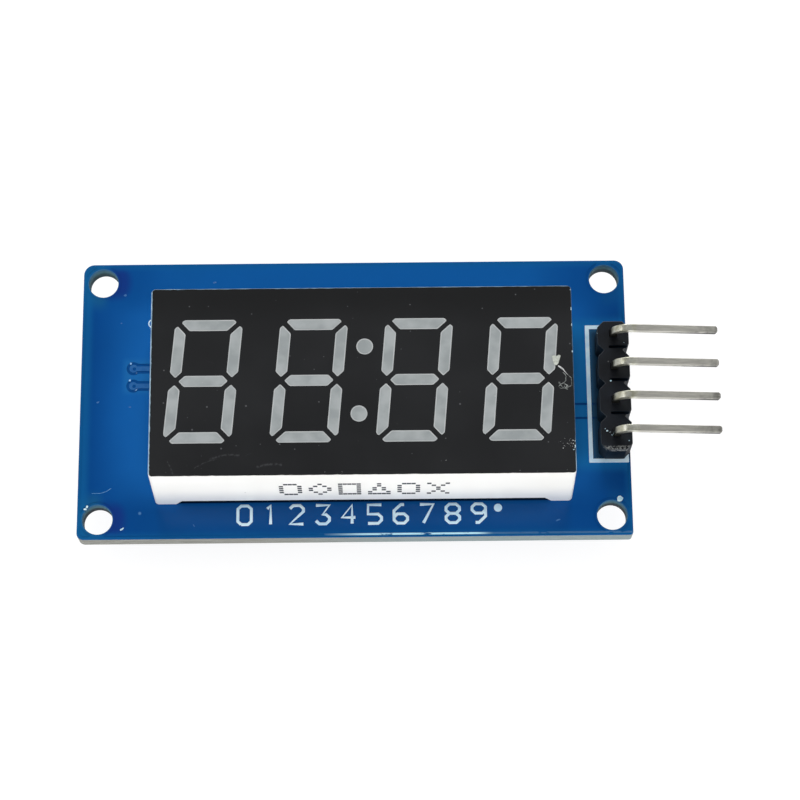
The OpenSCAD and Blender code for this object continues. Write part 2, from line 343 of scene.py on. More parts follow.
def cover(tree, colour, code, *shares):                  # lays a tone over the colour, by the product of the shares
    return blendTones(tree, times(tree, *shares), colour, tone(code))


def noiseOn(tree, vector, scale, detail=3.0, rough=0.5):
    inputs = {"Vector": vector, "Scale": scale, "Detail": detail, "Roughness": rough}
    return addNode(tree, "ShaderNodeTexNoise", inputs).outputs[0]


def stretch(tree, vector, scale):
    return addNode(tree, "ShaderNodeMapping", {"Vector": vector, "Scale": scale}).outputs[0]


def axes(tree, vector):
    return addNode(tree, "ShaderNodeSeparateXYZ", {0: vector}).outputs


def newGroup(name, inputs, outputName, outputKind):      # an effect that several finishes share
    group = bpy.data.node_groups.new(name, "ShaderNodeTree")
    for socketName, kind, value in [("Vector", "Vector", None)] + inputs:
        socket = group.interface.new_socket(name=socketName, in_out="INPUT", socket_type="NodeSocket" + kind)
        if value is not None:
            socket.default_value = value
    group.interface.new_socket(name=outputName, in_out="OUTPUT", socket_type="NodeSocket" + outputKind)
    given = group.nodes.new("NodeGroupInput").outputs
    return group, given, given["Vector"], group.nodes.new("NodeGroupOutput").inputs[0]


def makeMottle():        # soft changes of tone from place to place
    group, given, vector, out = newGroup("mottle", [("Scale", "Float", 300.0), ("Dark", "Color", None),
                                                    ("Light", "Color", None)], "Color", "Color")
    share = fade(group, noiseOn(group, vector, given["Scale"]), 0.32, 0.68)
    group.links.new(blendTones(group, share, given["Dark"], given["Light"]), out)
    return group


def makeSpecks():        # small grains of dust, few and far between
    group, given, vector, out = newGroup("specks", [("Scale", "Float", 900.0), ("Share", "Float", 0.05),
                                                    ("Size", "Float", 0.2)], "Mask", "Float")
    cells = addNode(group, "ShaderNodeTexVoronoi", {"Vector": vector, "Scale": given["Scale"]}).outputs
    chance = addNode(group, "ShaderNodeSeparateColor", {0: cells["Color"]}).outputs      # random for each cell
    size = times(group, given["Size"], chance[1])
    dot = fade(group, cells["Distance"], size, times(group, size, 0.4), "LINEAR")
    here = calc(group, "LESS_THAN", chance[0], given["Share"])
    group.links.new(calc(group, "MULTIPLY", dot, here, clamp=True), out)
    return group


def makeHairlines():     # fine wandering scratches, broken up by a wider pattern
    group, given, vector, out = newGroup("hairlines", [("Scale", "Float", 250.0), ("Width", "Float", 0.004),
                                                       ("Share", "Float", 0.4)], "Mask", "Float")
    wave = noiseOn(group, vector, given["Scale"], 1.0)
    thin = fade(group, apart(group, wave, 0.5), given["Width"], 0.0, "LINEAR")
    patch = noiseOn(group, vector, times(group, given["Scale"], 1.7), 2.0)
    edge = calc(group, "SUBTRACT", 1.0, given["Share"])
    broken = fade(group, patch, edge, calc(group, "ADD", edge, 0.12), "LINEAR")
    group.links.new(calc(group, "MULTIPLY", thin, broken, clamp=True), out)
    return group


def makeArcScratch():    # one faint curved scratch, from one place along X to another
    group, given, vector, out = newGroup("arcScratch", [
        ("Centre", "Vector", None), ("Radius", "Float", 0.003), ("Width", "Float", 0.0001),
        ("From", "Float", 0.0), ("To", "Float", 0.001)], "Mask", "Float")
    flat = addNode(group, "ShaderNodeVectorMath", {0: vector, 1: (1.0, 1.0, 0.0)}, operation="MULTIPLY").outputs[0]
    away = addNode(group, "ShaderNodeVectorMath", {0: flat, 1: given["Centre"]}, operation="DISTANCE").outputs["Value"]
    wander = times(group, noiseOn(group, vector, 1500.0, 2.0), 0.00015)
    line = apart(group, calc(group, "ADD", away, wander), given["Radius"])
    thin = fade(group, line, given["Width"], 0.0, "LINEAR")
    x = axes(group, vector)[0]
    inside = times(group, calc(group, "GREATER_THAN", x, given["From"]), calc(group, "LESS_THAN", x, given["To"]))
    grit = fade(group, noiseOn(group, vector, 6000.0, 2.0), 0.35, 0.6)
    group.links.new(calc(group, "MULTIPLY", times(group, thin, inside), grit, clamp=True), out)
    return group


def makeGrain():         # fine moulded or cast grain, as a height
    group, given, vector, out = newGroup("grain", [("Scale", "Float", 8000.0)], "Height", "Float")
    fine = noiseOn(group, vector, given["Scale"], 4.0, 0.6)
    wide = noiseOn(group, vector, times(group, given["Scale"], 0.12), 2.0)
    group.links.new(calc(group, "ADD", fine, wide), out)
    return group


shared = {"mottle": makeMottle(), "specks": makeSpecks(), "hairlines": makeHairlines(),
          "arcScratch": makeArcScratch(), "grain": makeGrain()}


def useShared(tree, which, inputs):
    return addNode(tree, "ShaderNodeGroup", inputs, node_tree=shared[which]).outputs[0]


def mottle(tree, place, scale, dark, light):
    return useShared(tree, "mottle", {"Vector": place, "Scale": scale, "Dark": tone(dark), "Light": tone(light)})


def specks(tree, place, scale, share, size):
    return useShared(tree, "specks", {"Vector": place, "Scale": scale, "Share": share, "Size": size})


def hairlines(tree, place, scale, share, width):
    return useShared(tree, "hairlines", {"Vector": place, "Scale": scale, "Width": width, "Share": share})


def grain(tree, place, scale):
    return useShared(tree, "grain", {"Vector": place, "Scale": scale})


def newFinish(name, rough, metal=0.0, specular=0.5):
    finish = bpy.data.materials.new(name)
    finish.use_nodes = True
    tree = finish.node_tree
    into = tree.nodes["Principled BSDF"].inputs
    into["Roughness"].default_value = rough
    into["Metallic"].default_value = metal
    into["Specular IOR Level"].default_value = specular
    return finish, tree, into, tree.nodes.new("ShaderNodeTexCoord").outputs["Object"]


def addBump(tree, into, height, strength, depth):
    bump = addNode(tree, "ShaderNodeBump", {"Height": height, "Strength": strength, "Distance": depth})
    tree.links.new(bump.outputs[0], into["Normal"])


def addRelief(tree, into, place, scale, strength, depth):
    addBump(tree, into, grain(tree, place, scale), strength, depth)


# the plain recipe that most finishes start from: two tones, dust, a grain and a change of gloss
plain = {"relief": (8000.0, 0.3, 0.000004), "dustScale": 1400.0, "dustSize": 0.16,
         "glossScale": 2.3, "glossSpread": 0.06}


def plainFinish(name, dark, light, rough, metal=0.0, specular=0.5, mottleScale=300.0, relief=plain["relief"],
                dust=None):
    finish, tree, into, place = newFinish(name, rough, metal, specular)
    colour = mottle(tree, place, mottleScale, dark, light)
    if dust:                         # a tone and its share
        colour = cover(tree, colour, dust[0], specks(tree, place, plain["dustScale"], dust[1], plain["dustSize"]))
    tree.links.new(colour, into["Base Color"])
    addRelief(tree, into, place, *relief)
    patches = noiseOn(tree, place, mottleScale * plain["glossScale"], 2.0)
    gloss = {"Value": patches, "To Min": rough - plain["glossSpread"], "To Max": rough + plain["glossSpread"]}
    tree.links.new(addNode(tree, "ShaderNodeMapRange", gloss).outputs[0], into["Roughness"])
    return finish


holes = next(mount for mount in frame["record"]["mounts"] if mount["name"] == "mounting_holes")["dims"]
holeCorner = Vector((holes["spacing_x_mm"], holes["spacing_y_mm"])) / 2
outline = {"low": (17.245, -5.185), "high": (20.17, 5.465), "line": 0.3, "round": 0.06}     # printed around the header

# tones of the solder mask; a pair says from where to where a tone fades in, in metres, and a patch has its tone, the
# width of its soft edge and its share. The tones towards the ends, the back, the front and the corners, the rim, the
# gleam along the front edge, and the end, frame, shade and header patches hold painted light, shade and reflection,
# the rim only in part
mask = {"rough": 0.17, "outer": "084486", "inner": "1660aa", "outerBare": "073c78", "innerBare": "0d4a8c",
        "inset": 0.0052, "cloudScale": 160.0, "cloud": 0.4,
        "back": "0c5194", "backY": (0.0064, 0.0082), "backShare": 0.7,
        "front": "07427f", "frontY": (-0.0070, -0.0088), "frontShare": 0.8,
        "cornerY": (0.0050, 0.0092), "cornerInset": (0.0075, 0.0035), "cornerShare": 0.7,
        "violet": "15327c", "violetAway": (0.0024, 0.0016), "violetBeside": (0.0017, 0.0006), "violetShare": 0.85,
        "teal": "1d5f86", "tealAway": (0.0025, 0.0013), "tealShare": 0.2, "tealMoreLeft": 0.35,
        "innerSide": (0.0003, -0.0007),
        "rimToneAndHighlight": "125c94", "rim": 0.0007, "leftRim": 0.0010, "leftRimFull": 0.4, "rimShare": 0.7,
        "via": ("206aaa", 0.0006, 0.7), "viaBox": ((-0.0174, 0.0002), (-0.0130, 0.0034)),
        "end": ("1a70b0", 0.0012, 0.8), "endBox": ((0.0150, -0.0062), (0.0215, 0.0064)),
        "frame": ("30536e", 0.0003, 0.8), "shade": ("03101f", 0.00012, 0.95), "header": ("1d384e", 0.0005, 0.9),
        "headerMargin": Vector((0.0005, 0.0003)),
        "paintedGleam": "c4ecf8", "streakInset": 0.00023, "streakLine": (0.00009, 0.00004), "streakX": (-0.0030, 0.0016),
        "streakFullX": (0.0102, 0.0088), "streakFaint": 0.1, "streakScale": 4200.0, "streakBreaks": (0.28, 0.42),
        "dust": "5f93c4", "dustScale": 700.0, "dustShare": 0.03, "dustSize": 0.12, "dustStrength": 0.6,
        "hairScale": 330.0, "hairShare": 0.30, "hairWidth": 0.004, "hairStrength": 0.08, "markRough": 0.4,
        "relief": (900.0, 0.15, 0.00001)}


def within(tree, x, y, low, high, soft):         # 1 inside a box, seen from above, and 0 outside it
    return times(tree, fade(tree, x, low[0], low[0] + soft), fade(tree, x, high[0], high[0] - soft),
                 fade(tree, y, low[1], low[1] + soft), fade(tree, y, high[1], high[1] - soft))


def tintHoles(tree, colour, farX, farY, onLeft):         # violet on the side of the display, teal on the outer side
    holeX, holeY = holeCorner * mm
    spot = {0: calc(tree, "SUBTRACT", farX, holeX), 1: calc(tree, "SUBTRACT", farY, holeY)}
    spot = addNode(tree, "ShaderNodeCombineXYZ", spot).outputs[0]
    away = addNode(tree, "ShaderNodeVectorMath", {0: spot}, operation="LENGTH").outputs["Value"]
    inward = fade(tree, farX, *(holeX + step for step in mask["innerSide"]))
    beside = fade(tree, apart(tree, farY, holeY), *mask["violetBeside"])
    colour = cover(tree, colour, mask["violet"], fade(tree, away, *mask["violetAway"]), beside, inward, onLeft,
                   mask["violetShare"])
    share = calc(tree, "ADD", times(tree, onLeft, mask["tealMoreLeft"]), mask["tealShare"])
    outward = calc(tree, "SUBTRACT", 1.0, inward)
    return cover(tree, colour, mask["teal"], fade(tree, away, *mask["tealAway"]), outward, share)


def tintPatches(tree, colour, x, y, onFace, pale):       # pale by the vias; painted light at the end by the header, against the display's shadow; painted shade under the display; painted shade and reflection of the housing in the header's outline and beside it
    low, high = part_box("header_housing")
    frameBox = [Vector(outline[end]) * mm for end in ("low", "high")]
    headerBox = (low.xy - mask["headerMargin"], high.xy + mask["headerMargin"])
    for which, box, more in (("via", mask["viaBox"], pale), ("end", mask["endBox"], pale),
                             ("shade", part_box("display_shell"), 1), ("frame", frameBox, pale),
                             ("header", headerBox, 1)):
        code, soft, share = mask[which]
        colour = cover(tree, colour, code, within(tree, x, y, *box, soft), share * more, onFace)
    return colour


def addPaintedGleam(tree, colour, place, x, y, high, onFace):  # painted highlight: a broken gleam along the front edge
    line = fade(tree, apart(tree, y, mask["streakInset"] - high.y), *mask["streakLine"])
    faint = mask["streakFaint"]
    strong = calc(tree, "ADD", times(tree, fade(tree, x, *mask["streakFullX"]), 1 - faint), faint)
    long = stretch(tree, place, (0.35, 1.0, 1.0))
    broken = fade(tree, noiseOn(tree, long, mask["streakScale"], 2.0), *mask["streakBreaks"])
    return cover(tree, colour, mask["paintedGleam"], line, fade(tree, x, *mask["streakX"]), strong, broken, onFace)


def makeMaskFinish(name, outer, inner, pale=1.0):        # glossy blue solder mask; pale weakens the paler patches
    finish, tree, into, place = newFinish(name, mask["rough"], specular=0.1)
    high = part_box("circuit_board")[1]
    x, y, z = axes(tree, place)
    onFace = calc(tree, "GREATER_THAN", z, high.z / 2)   # the side that carries the display
    onLeft = calc(tree, "LESS_THAN", x, 0.0)
    farX, farY = calc(tree, "ABSOLUTE", x), calc(tree, "ABSOLUTE", y)
    toX, toY = calc(tree, "SUBTRACT", high.x, farX), calc(tree, "SUBTRACT", high.y, farY)
    cloud = times(tree, calc(tree, "SUBTRACT", noiseOn(tree, place, mask["cloudScale"]), 0.5), mask["cloud"])
    share = calc(tree, "ADD", fade(tree, toX, 0.0, mask["inset"]), cloud, clamp=True)
    colour = blendTones(tree, share, tone(outer), tone(inner))           # painted shade: darker towards both ends
    # painted light and shade: lighter towards the back, darker towards the front and at the corners of the ends
    colour = cover(tree, colour, mask["back"], fade(tree, y, *mask["backY"]), mask["backShare"])
    colour = cover(tree, colour, mask["front"], fade(tree, y, *mask["frontY"]), mask["frontShare"])
    colour = cover(tree, colour, mask["outer"], fade(tree, farY, *mask["cornerY"]),
                   fade(tree, toX, *mask["cornerInset"]), mask["cornerShare"])
    colour = tintHoles(tree, colour, farX, farY, onLeft)
    # the rim along the outline: the mask's own teal over the bare edge, with a painted highlight along it, widest on
    # the left
    leftRim = times(tree, fade(tree, toX, mask["leftRim"], mask["leftRim"] * mask["leftRimFull"]), onLeft)
    rim = calc(tree, "MAXIMUM", fade(tree, calc(tree, "MINIMUM", toX, toY), mask["rim"], 0.0), leftRim)
    colour = cover(tree, colour, mask["rimToneAndHighlight"], rim, mask["rimShare"])
    colour = tintPatches(tree, colour, x, y, onFace, pale)
    colour = addPaintedGleam(tree, colour, place, x, y, high, onFace)
    dust = specks(tree, place, mask["dustScale"], mask["dustShare"], mask["dustSize"])
    hair = hairlines(tree, place, mask["hairScale"], mask["hairShare"], mask["hairWidth"])
    marked = calc(tree, "MAXIMUM", times(tree, dust, mask["dustStrength"]), times(tree, hair, mask["hairStrength"]))
    tree.links.new(cover(tree, colour, mask["dust"], marked), into["Base Color"])
    addRelief(tree, into, place, *mask["relief"])
    tree.links.new(calc(tree, "ADD", times(tree, marked, mask["markRough"]), mask["rough"]), into["Roughness"])
    return finish


# cut laminate: thin layers with frayed fibres, and a painted bluish reflection at the front right of the board's edge,
# and at the back left in the holes
cut = {"rough": 0.75, "layers": 14.0, "scale": 900.0, "fibreScale": 4200.0, "fibres": (0.55, 0.75),
       "relief": (3000.0, 0.6, 0.00002), "frontX": (-0.0080, 0.0060), "frontY": (-0.0098, -0.0104), "frontShare": 0.5,
       "backX": (0.001, -0.001), "backY": (-0.001, 0.001), "backShare": 0.5}


def onFrontRight(tree, x, y):
    return times(tree, fade(tree, x, *cut["frontX"]), fade(tree, y, *cut["frontY"]), cut["frontShare"])


def onBackLeft(tree, x, y):
    share = calc(tree, "ADD", times(tree, fade(tree, x, *cut["backX"]), 1 - cut["backShare"]), cut["backShare"])
    return times(tree, fade(tree, y, *cut["backY"]), share)


def makeLaminateFinish(name, dark, light, fibre, reflectedTone, where, depthBands=()):      # the last tones are laid on a hole's wall by depth below the board's top, as painted light: a bluish top and a pale band below it
    finish, tree, into, place = newFinish(name, cut["rough"], specular=0.3)
    layers = stretch(tree, place, (1.0, 1.0, cut["layers"]))
    x, y, z = axes(tree, place)
    colour = cover(tree, mottle(tree, layers, cut["scale"], dark, light), reflectedTone, where(tree, x, y))
    depth = calc(tree, "SUBTRACT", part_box("circuit_board")[1].z, z)
    for code, start, end in depthBands:
        colour = cover(tree, colour, code, fade(tree, depth, start, end))
    fibres = fade(tree, noiseOn(tree, layers, cut["fibreScale"]), *cut["fibres"])
    tree.links.new(cover(tree, colour, fibre, fibres), into["Base Color"])
    addRelief(tree, into, layers, *cut["relief"])
    return finish


# white plastic, with painted shade: darker and cooler towards the board, which shades it and throws its blue light up;
# the hairline around the black layer is painted light and shade, bluish, and dim on the right
shellLook = {"rough": 0.38, "scale": 150.0, "dark": "f5f4ef", "light": "faf9f5", "low": "d0d4d8", "shadeReach": 0.0042,
             "dust": "b9b9b6", "dustShare": 0.03, "rimScale": 900.0,
             "rims": {"left": ("84a6be", "bcdcee"), "right": ("24465e", "456680"), "back": ("52748c", "83a4b7")},
             "rightX": (0.0120, 0.0135), "rightY": (-0.0066, -0.0058), "backInset": (0.0005, 0.0003),
             "topInset": (0.00006, 0.00003), "frontInset": (0.0002, 0.0004)}


def makeShellFinish():
    look = shellLook
    finish, tree, into, place = newFinish("shellPlastic", look["rough"])
    low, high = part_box("display_shell")
    x, y, z = axes(tree, place)
    colour = mottle(tree, place, look["scale"], look["dark"], look["light"])
    # painted shade: darker and cooler towards the board
    colour = cover(tree, colour, look["low"], fade(tree, z, low.z + look["shadeReach"], low.z))
    # painted light and shade on the hairline around the black layer: bluish, dimmer at the back and dimmest on the
    # right
    rims = {side: mottle(tree, place, look["rimScale"], *tones) for side, tones in look["rims"].items()}
    shadedRight = times(tree, fade(tree, x, *look["rightX"]), fade(tree, y, *look["rightY"]))
    rim = blendTones(tree, shadedRight, rims["left"], rims["right"])
    rim = blendTones(tree, fade(tree, y, *(high.y - inset for inset in look["backInset"])), rim, rims["back"])
    onTop = times(tree, fade(tree, z, *(high.z - inset for inset in look["topInset"])),
                  fade(tree, y, *(low.y + inset for inset in look["frontInset"])))
    colour = blendTones(tree, onTop, colour, rim)
    dust = specks(tree, place, plain["dustScale"], look["dustShare"], plain["dustSize"])
    tree.links.new(cover(tree, colour, look["dust"], dust), into["Base Color"])
    addRelief(tree, into, place, *plain["relief"])
    return finish


# black ink; hairs and dust have their scale, share and size, and an arc has its centre, radius, half width, and the
# places along X where it starts and ends, in metres
faceLook = {"rough": 0.5, "scale": 120.0, "dark": "18191b", "light": "202123", "back": "0b0c0d",
            "backY": (0.0026, 0.0056), "backShare": 0.7, "scratch": "5c5d60", "hairs": (420.0, 0.36, 0.006),
            "hairStrength": 0.18, "dust": (2900.0, 0.09, 0.26), "dustStrength": 0.9, "relief": (9000.0, 0.25, 0.000003),
            "arcStrength": 0.3, "arcInputs": ("Centre", "Radius", "Width", "From", "To"),
            "arcs": [((-0.0086, -0.0104, 0), 0.0041, 0.00011, -0.0101, -0.0080),
                     ((-0.0092, -0.0101, 0), 0.0035, 0.00006, -0.0112, -0.0096),
                     ((-0.0056, -0.0106, 0), 0.0036, 0.00012, -0.0068, -0.0050),
                     ((-0.0155, -0.0085, 0), 0.0030, 0.00008, -0.0131, -0.0122)]}


def makeFaceFinish():            # matt black ink with dust, hairlines and faint arcs
    look = faceLook
    finish, tree, into, place = newFinish("faceInk", look["rough"], specular=0.2)
    colour = mottle(tree, place, look["scale"], look["dark"], look["light"])
    colour = cover(tree, colour, look["back"], fade(tree, axes(tree, place)[1], *look["backY"]), look["backShare"])
    marked = times(tree, hairlines(tree, place, *look["hairs"]), look["hairStrength"])
    for values in look["arcs"]:
        arc = useShared(tree, "arcScratch", {"Vector": place, **dict(zip(look["arcInputs"], values))})
        marked = calc(tree, "MAXIMUM", marked, times(tree, arc, look["arcStrength"]))
    dust = times(tree, specks(tree, place, *look["dust"]), look["dustStrength"])
    marked = calc(tree, "MAXIMUM", marked, dust)
    tree.links.new(cover(tree, colour, look["scratch"], marked), into["Base Color"])
    addRelief(tree, into, place, *look["relief"])
    return finish


wireLook = {"run": (500.0, "bbb9b1", "d0cec5"), "bend": (2600.0, "c6c5af", "e8e8dc"), "straightX": (0.0206, 0.0211),
            "legShade": "1c1d1a", "legShadeShare": 0.93, "legShadeTop": (0.0012, 0.0008),
            "legShadeFoot": (-0.0010, -0.0006), "unevenScale": 1800.0, "uneven": 0.0005, "stretch": 14.0,
            "wrinkleScale": 3800.0, "lineScale": 3000.0, "lines": 0.25, "depth": 0.00002,
            "rough": 0.3, "roughMore": 0.1}


def makeWireFinish():            # plated wire: drawn streaks along its run, and wrinkled over the bend, which is painted brighter as a highlight
    look = wireLook
    finish, tree, into, place = newFinish("wireTin", 0.42, metal=0.85)
    x, _, z = axes(tree, place)
    streaks = stretch(tree, place, (1.0, look["stretch"], look["stretch"]))
    uneven = times(tree, noiseOn(tree, place, look["unevenScale"]), look["uneven"])
    straight = fade(tree, calc(tree, "ADD", x, uneven), *look["straightX"])
    # painted highlight: the bend is brighter than the run
    colour = blendTones(tree, straight, mottle(tree, place, *look["bend"]), mottle(tree, streaks, *look["run"]))
    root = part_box("header_housing")[1].z         # painted shade: dark where it leaves the housing
    legShade = times(tree, fade(tree, calc(tree, "ADD", z, uneven), *(root + step for step in look["legShadeTop"])),
                    fade(tree, z, *(root + step for step in look["legShadeFoot"])))
    tree.links.new(cover(tree, colour, look["legShade"], legShade, look["legShadeShare"]), into["Base Color"])
    wrinkles = times(tree, grain(tree, place, look["wrinkleScale"]), calc(tree, "SUBTRACT", 1.0, straight))
    lines = times(tree, noiseOn(tree, streaks, look["lineScale"], 2.0), look["lines"])
    addBump(tree, into, calc(tree, "ADD", wrinkles, lines), 0.5, look["depth"])
    tree.links.new(calc(tree, "ADD", times(tree, straight, look["roughMore"]), look["rough"]), into["Roughness"])
    return finish


housingLook = {"rough": 0.46, "scale": 500.0, "dust": "a2a6a6", "dustKind": (1500.0, 0.07, 0.2), "dustShare": 0.6,
               "scrape": "8b8e8d", "scrapeShare": 0.8, "scrapeY": (0.00036, 0.00022), "scrapeInset": (0.0005, 0.0003),
               "gritScale": 7000.0, "grit": (0.42, 0.62), "relief": (4000.0, 0.3, 0.00001)}


def makeHousingFinish(name, dark, light, specular):      # moulded black plastic, scraped along the top of its lower end
    look = housingLook
    finish, tree, into, place = newFinish(name, look["rough"], specular=specular)
    low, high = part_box("header_housing")
    _, y, z = axes(tree, place)
    colour = mottle(tree, place, look["scale"], dark, light)
    colour = cover(tree, colour, look["dust"], specks(tree, place, *look["dustKind"]), look["dustShare"])
    scrape = times(tree, fade(tree, y, *(low.y + step for step in look["scrapeY"])),
                   fade(tree, z, *(high.z - inset for inset in look["scrapeInset"])))
    grit = fade(tree, noiseOn(tree, place, look["gritScale"]), *look["grit"])
    tree.links.new(cover(tree, colour, look["scrape"], scrape, grit, look["scrapeShare"]), into["Base Color"])
    addRelief(tree, into, place, *look["relief"])
    return finish


finishes = {
    "maskCopper": makeMaskFinish("maskOverCopper", mask["outer"], mask["inner"]),
    "maskBare": makeMaskFinish("maskOverLaminate", mask["outerBare"], mask["innerBare"], 0.1),
    "maskPad": plainFinish("maskOverVia", "2860a0", "3168a4", 0.2, specular=0.1, mottleScale=2500.0),
    "laminate": makeLaminateFinish("laminateEdge", "787871", "8f908b", "a6a8a3", "829ca4", onFrontRight),
    # the hole walls take a darker copy of the laminate: painted shade
    "holeWallShaded": makeLaminateFinish("laminateHoleShaded", "232f38", "34454f", "50616a", "30535b", onBackLeft,
                                   [("4a7682", 0.0010, 0.0006), ("2b648c", 0.0005, 0.0001)]),
    "silk": plainFinish("silkInk", "c6e6fb", "dcf3ff", 0.6, mottleScale=1600.0),
    "shell": makeShellFinish(),
    "face": makeFaceFinish(),
    "resin": plainFinish("segmentResin", "949a9b", "a9aeaf", 0.5, specular=0.3, mottleScale=700.0,
                         dust=("ccd0d0", 0.07)),
    "resinRim": plainFinish("segmentRim", "b3b7b8", "c0c3c3", 0.5, specular=0.3, mottleScale=900.0),
    "flake": plainFinish("driedGlue", "9da299", "cdd2c8", 0.55, mottleScale=4000.0,
                         relief=(5000.0, 0.3, 0.00002)),
    "glintAndDust": plainFinish("maskGlintAndDust", "a9cfe0", "def2f6", 0.3, mottleScale=5000.0),
    "maskScuff": plainFinish("maskScuff", "3f7fb8", "6ba3cd", 0.5, mottleScale=5000.0),
    "maskDustAndGlints": plainFinish("maskDustAndGlints", "1f5b9d", "386fa9", 0.5, mottleScale=5000.0),
    "viaGlint": plainFinish("viaGlint", "7fb9f0", "a6d6ff", 0.3, mottleScale=5000.0),
    "hair": plainFinish("scratchBurr", "a9abab", "e2e4e4", 0.5, mottleScale=5000.0),
    "hairDim": plainFinish("scratchCurls", "5c615f", "a3a8a5", 0.6, mottleScale=4000.0),
    "inkMark": plainFinish("markInk", "1d2128", "343941", 0.7, mottleScale=3000.0),
    "housing": makeHousingFinish("housingTop", "0a0e14", "131922", 0.25),
    # a dull copy of the plastic for the sides, as painted shade, and a lighter one for the bevels, as a painted
    # highlight
    "housingSideShade": makeHousingFinish("housingSideShade", "0a131d", "14212d", 0.02),
    "housingEdgeHighlight": plainFinish("housingEdgeHighlight", "23272b", "34393d", 0.4, specular=0.4, mottleScale=900.0),
    "wire": makeWireFinish(),
    "pin": plainFinish("pinTin", "a3a39d", "bcbcb6", 0.35, metal=0.9, mottleScale=900.0),
    "solder": plainFinish("solderTin", "aeb0b1", "c9cbcc", 0.32, metal=1.0, mottleScale=900.0,
                          relief=(2500.0, 0.3, 0.00001)),
    "pad": plainFinish("padTin", "b9b6a6", "cfccbd", 0.32, metal=0.95, mottleScale=1200.0),
    "mould": plainFinish("chipMould", "252628", "2f3032", 0.62, specular=0.4, mottleScale=400.0,
                         relief=(9000.0, 0.5, 0.00001)),
    "lead": plainFinish("leadTin", "a9abad", "c2c4c6", 0.34, metal=0.95, mottleScale=1500.0),
    "glaze": plainFinish("resistorGlaze", "17171a", "202024", 0.3, mottleScale=1500.0),
    "tan": plainFinish("capacitorCeramic", "9c7f5d", "b3946e", 0.45, mottleScale=2500.0),
    "seal": plainFinish("sealResin", "bfbdb0", "d2d0c5", 0.3, mottleScale=260.0,
                        relief=(1500.0, 0.3, 0.00002)),
    "substrate": plainFinish("substrateLaminate", "b29a60", "c9b37a", 0.45, mottleScale=700.0),
    "crystal": plainFinish("ledCrystal", "b49a3a", "d8c04a", 0.2, mottleScale=3000.0),
}
print("finishes made:", len(finishes))


# circuit board: a laminate plate between two masked copper plates; each corner has its own rounding, by its side
# along X and Y, and a clearance is the radius of the gap around a hole
board = {"corners": {(-1, -1): 0.5, (-1, 1): 0.8, (1, -1): 0.25, (1, 1): 0.7}, "edgeRound": 0.05,
         "pinHole": 0.45, "wireHole": 0.55, "copper": 0.035, "copperInset": 0.26, "copperRound": 0.032,
         "screwClearance": 1.35, "frontClearance": 0.5, "backClearance": 1.15, "moreForWires": 0.1}
boardLow, boardHigh = boxOf("circuit_board")
mountPlaces = [(x * holeCorner.x, y * holeCorner.y) for x in (-1, 1) for y in (-1, 1)]
pinPlaces = [middleOf("display_pin_%d" % p).xy for p in range(1, 13)]
wireBoxes = [boxOf("header_pin_%d" % p) for p in range(1, 5)]
wireSide = wireBoxes[0][1].y - wireBoxes[0][0].y
wirePlaces = [Vector((low.x + wireSide / 2, (low.y + high.y) / 2)) for low, high in wireBoxes]


def holeRods(mountRadius, pinRadius, wireRadius, low, high):
    rods = [addRod("rod", x, y, mountRadius, low, high, 64) for x, y in mountPlaces]
    rods += [addRod("rod", x, y, pinRadius, low, high, 24) for x, y in pinPlaces]
    rods += [addRod("rod", x, y, wireRadius, low, high, 24) for x, y in wirePlaces]
    return join("rods", rods)


def addBoardPlate(name, inset, low, high):
    first = Vector((boardLow.x + inset, boardLow.y + inset, low))
    last = Vector((boardHigh.x - inset, boardHigh.y - inset, high))
    piece = addSheet(name, first, last)
    for (x, y), radius in board["corners"].items():
        spot = Vector((last.x if x > 0 else first.x, last.y if y > 0 else first.y))
        openFor(piece, "points", lambda point: (point.co.xy - spot).length < 0.001)
        bpy.ops.mesh.bevel(affect="VERTICES", offset=max(radius - inset * 0.8, 0.05), segments=8)
        close()
    return raiseUp(piece, high - low)


def makeLaminate():
    piece = addBoardPlate("boardLaminate", 0, boardLow.z + board["copper"], boardHigh.z - board["copper"])
    combine(piece, holeRods(holes["hole_r_mm"], board["pinHole"], board["wireHole"], -1, 3))
    smooth(soften(piece, board["edgeRound"]))
    dress(piece, "maskBare", "laminate", "holeWallShaded")

    def upright(face):
        return abs(face.normal.z) < 0.2

    def inHole(face):                # the walls, and their rounded edge at the front
        middle = Vector(map(abs, face.center.xy))
        if upright(face):
            return middle.x < boardHigh.x - 0.2 and middle.y < boardHigh.y - 0.2
        return (face.center.z > board["copper"] + board["edgeRound"] and
                (middle - holeCorner).length < holes["hole_r_mm"] + board["edgeRound"])

    paint(piece, 1, upright)
    paint(piece, 2, inHole)
    return done(piece, "blue_solder_mask", "circuit_board")


# two covered vias with tracks that run in under the display, and two gaps that part off a track to the header
tracks = {"viaPlaces": [(-16.40, 2.39), (-16.40, 1.04)], "padRadius": 0.31, "gap": 0.2, "halfWidth": 0.18,
          "reach": 4.0, "dimple": 0.13, "dimpleShift": Vector((0.06, -0.02)), "dimpleDepth": 0.02,
          "headerGaps": [-0.67, -1.75], "headerGapHalf": 0.085, "headerGapX": (15.0, 18.6)}


def viaShape(name, x, y, grow, low, high):       # a round pad with a track that leaves it along +X
    pad = addRod(name, x, y, tracks["padRadius"] + grow, low, high, 40)
    half = tracks["halfWidth"] + grow
    return combine(pad, addBlock("track", (x, y - half, low), (x + tracks["reach"] + grow, y + half, high)), "UNION")


def addCopper(name, low, high, clearance):       # a plate that stays clear of the holes
    piece = addBoardPlate(name, board["copperInset"], low, high)
    wireClearance = clearance + board["moreForWires"]
    return combine(piece, holeRods(board["screwClearance"], clearance, wireClearance, low - 1, high + 1))


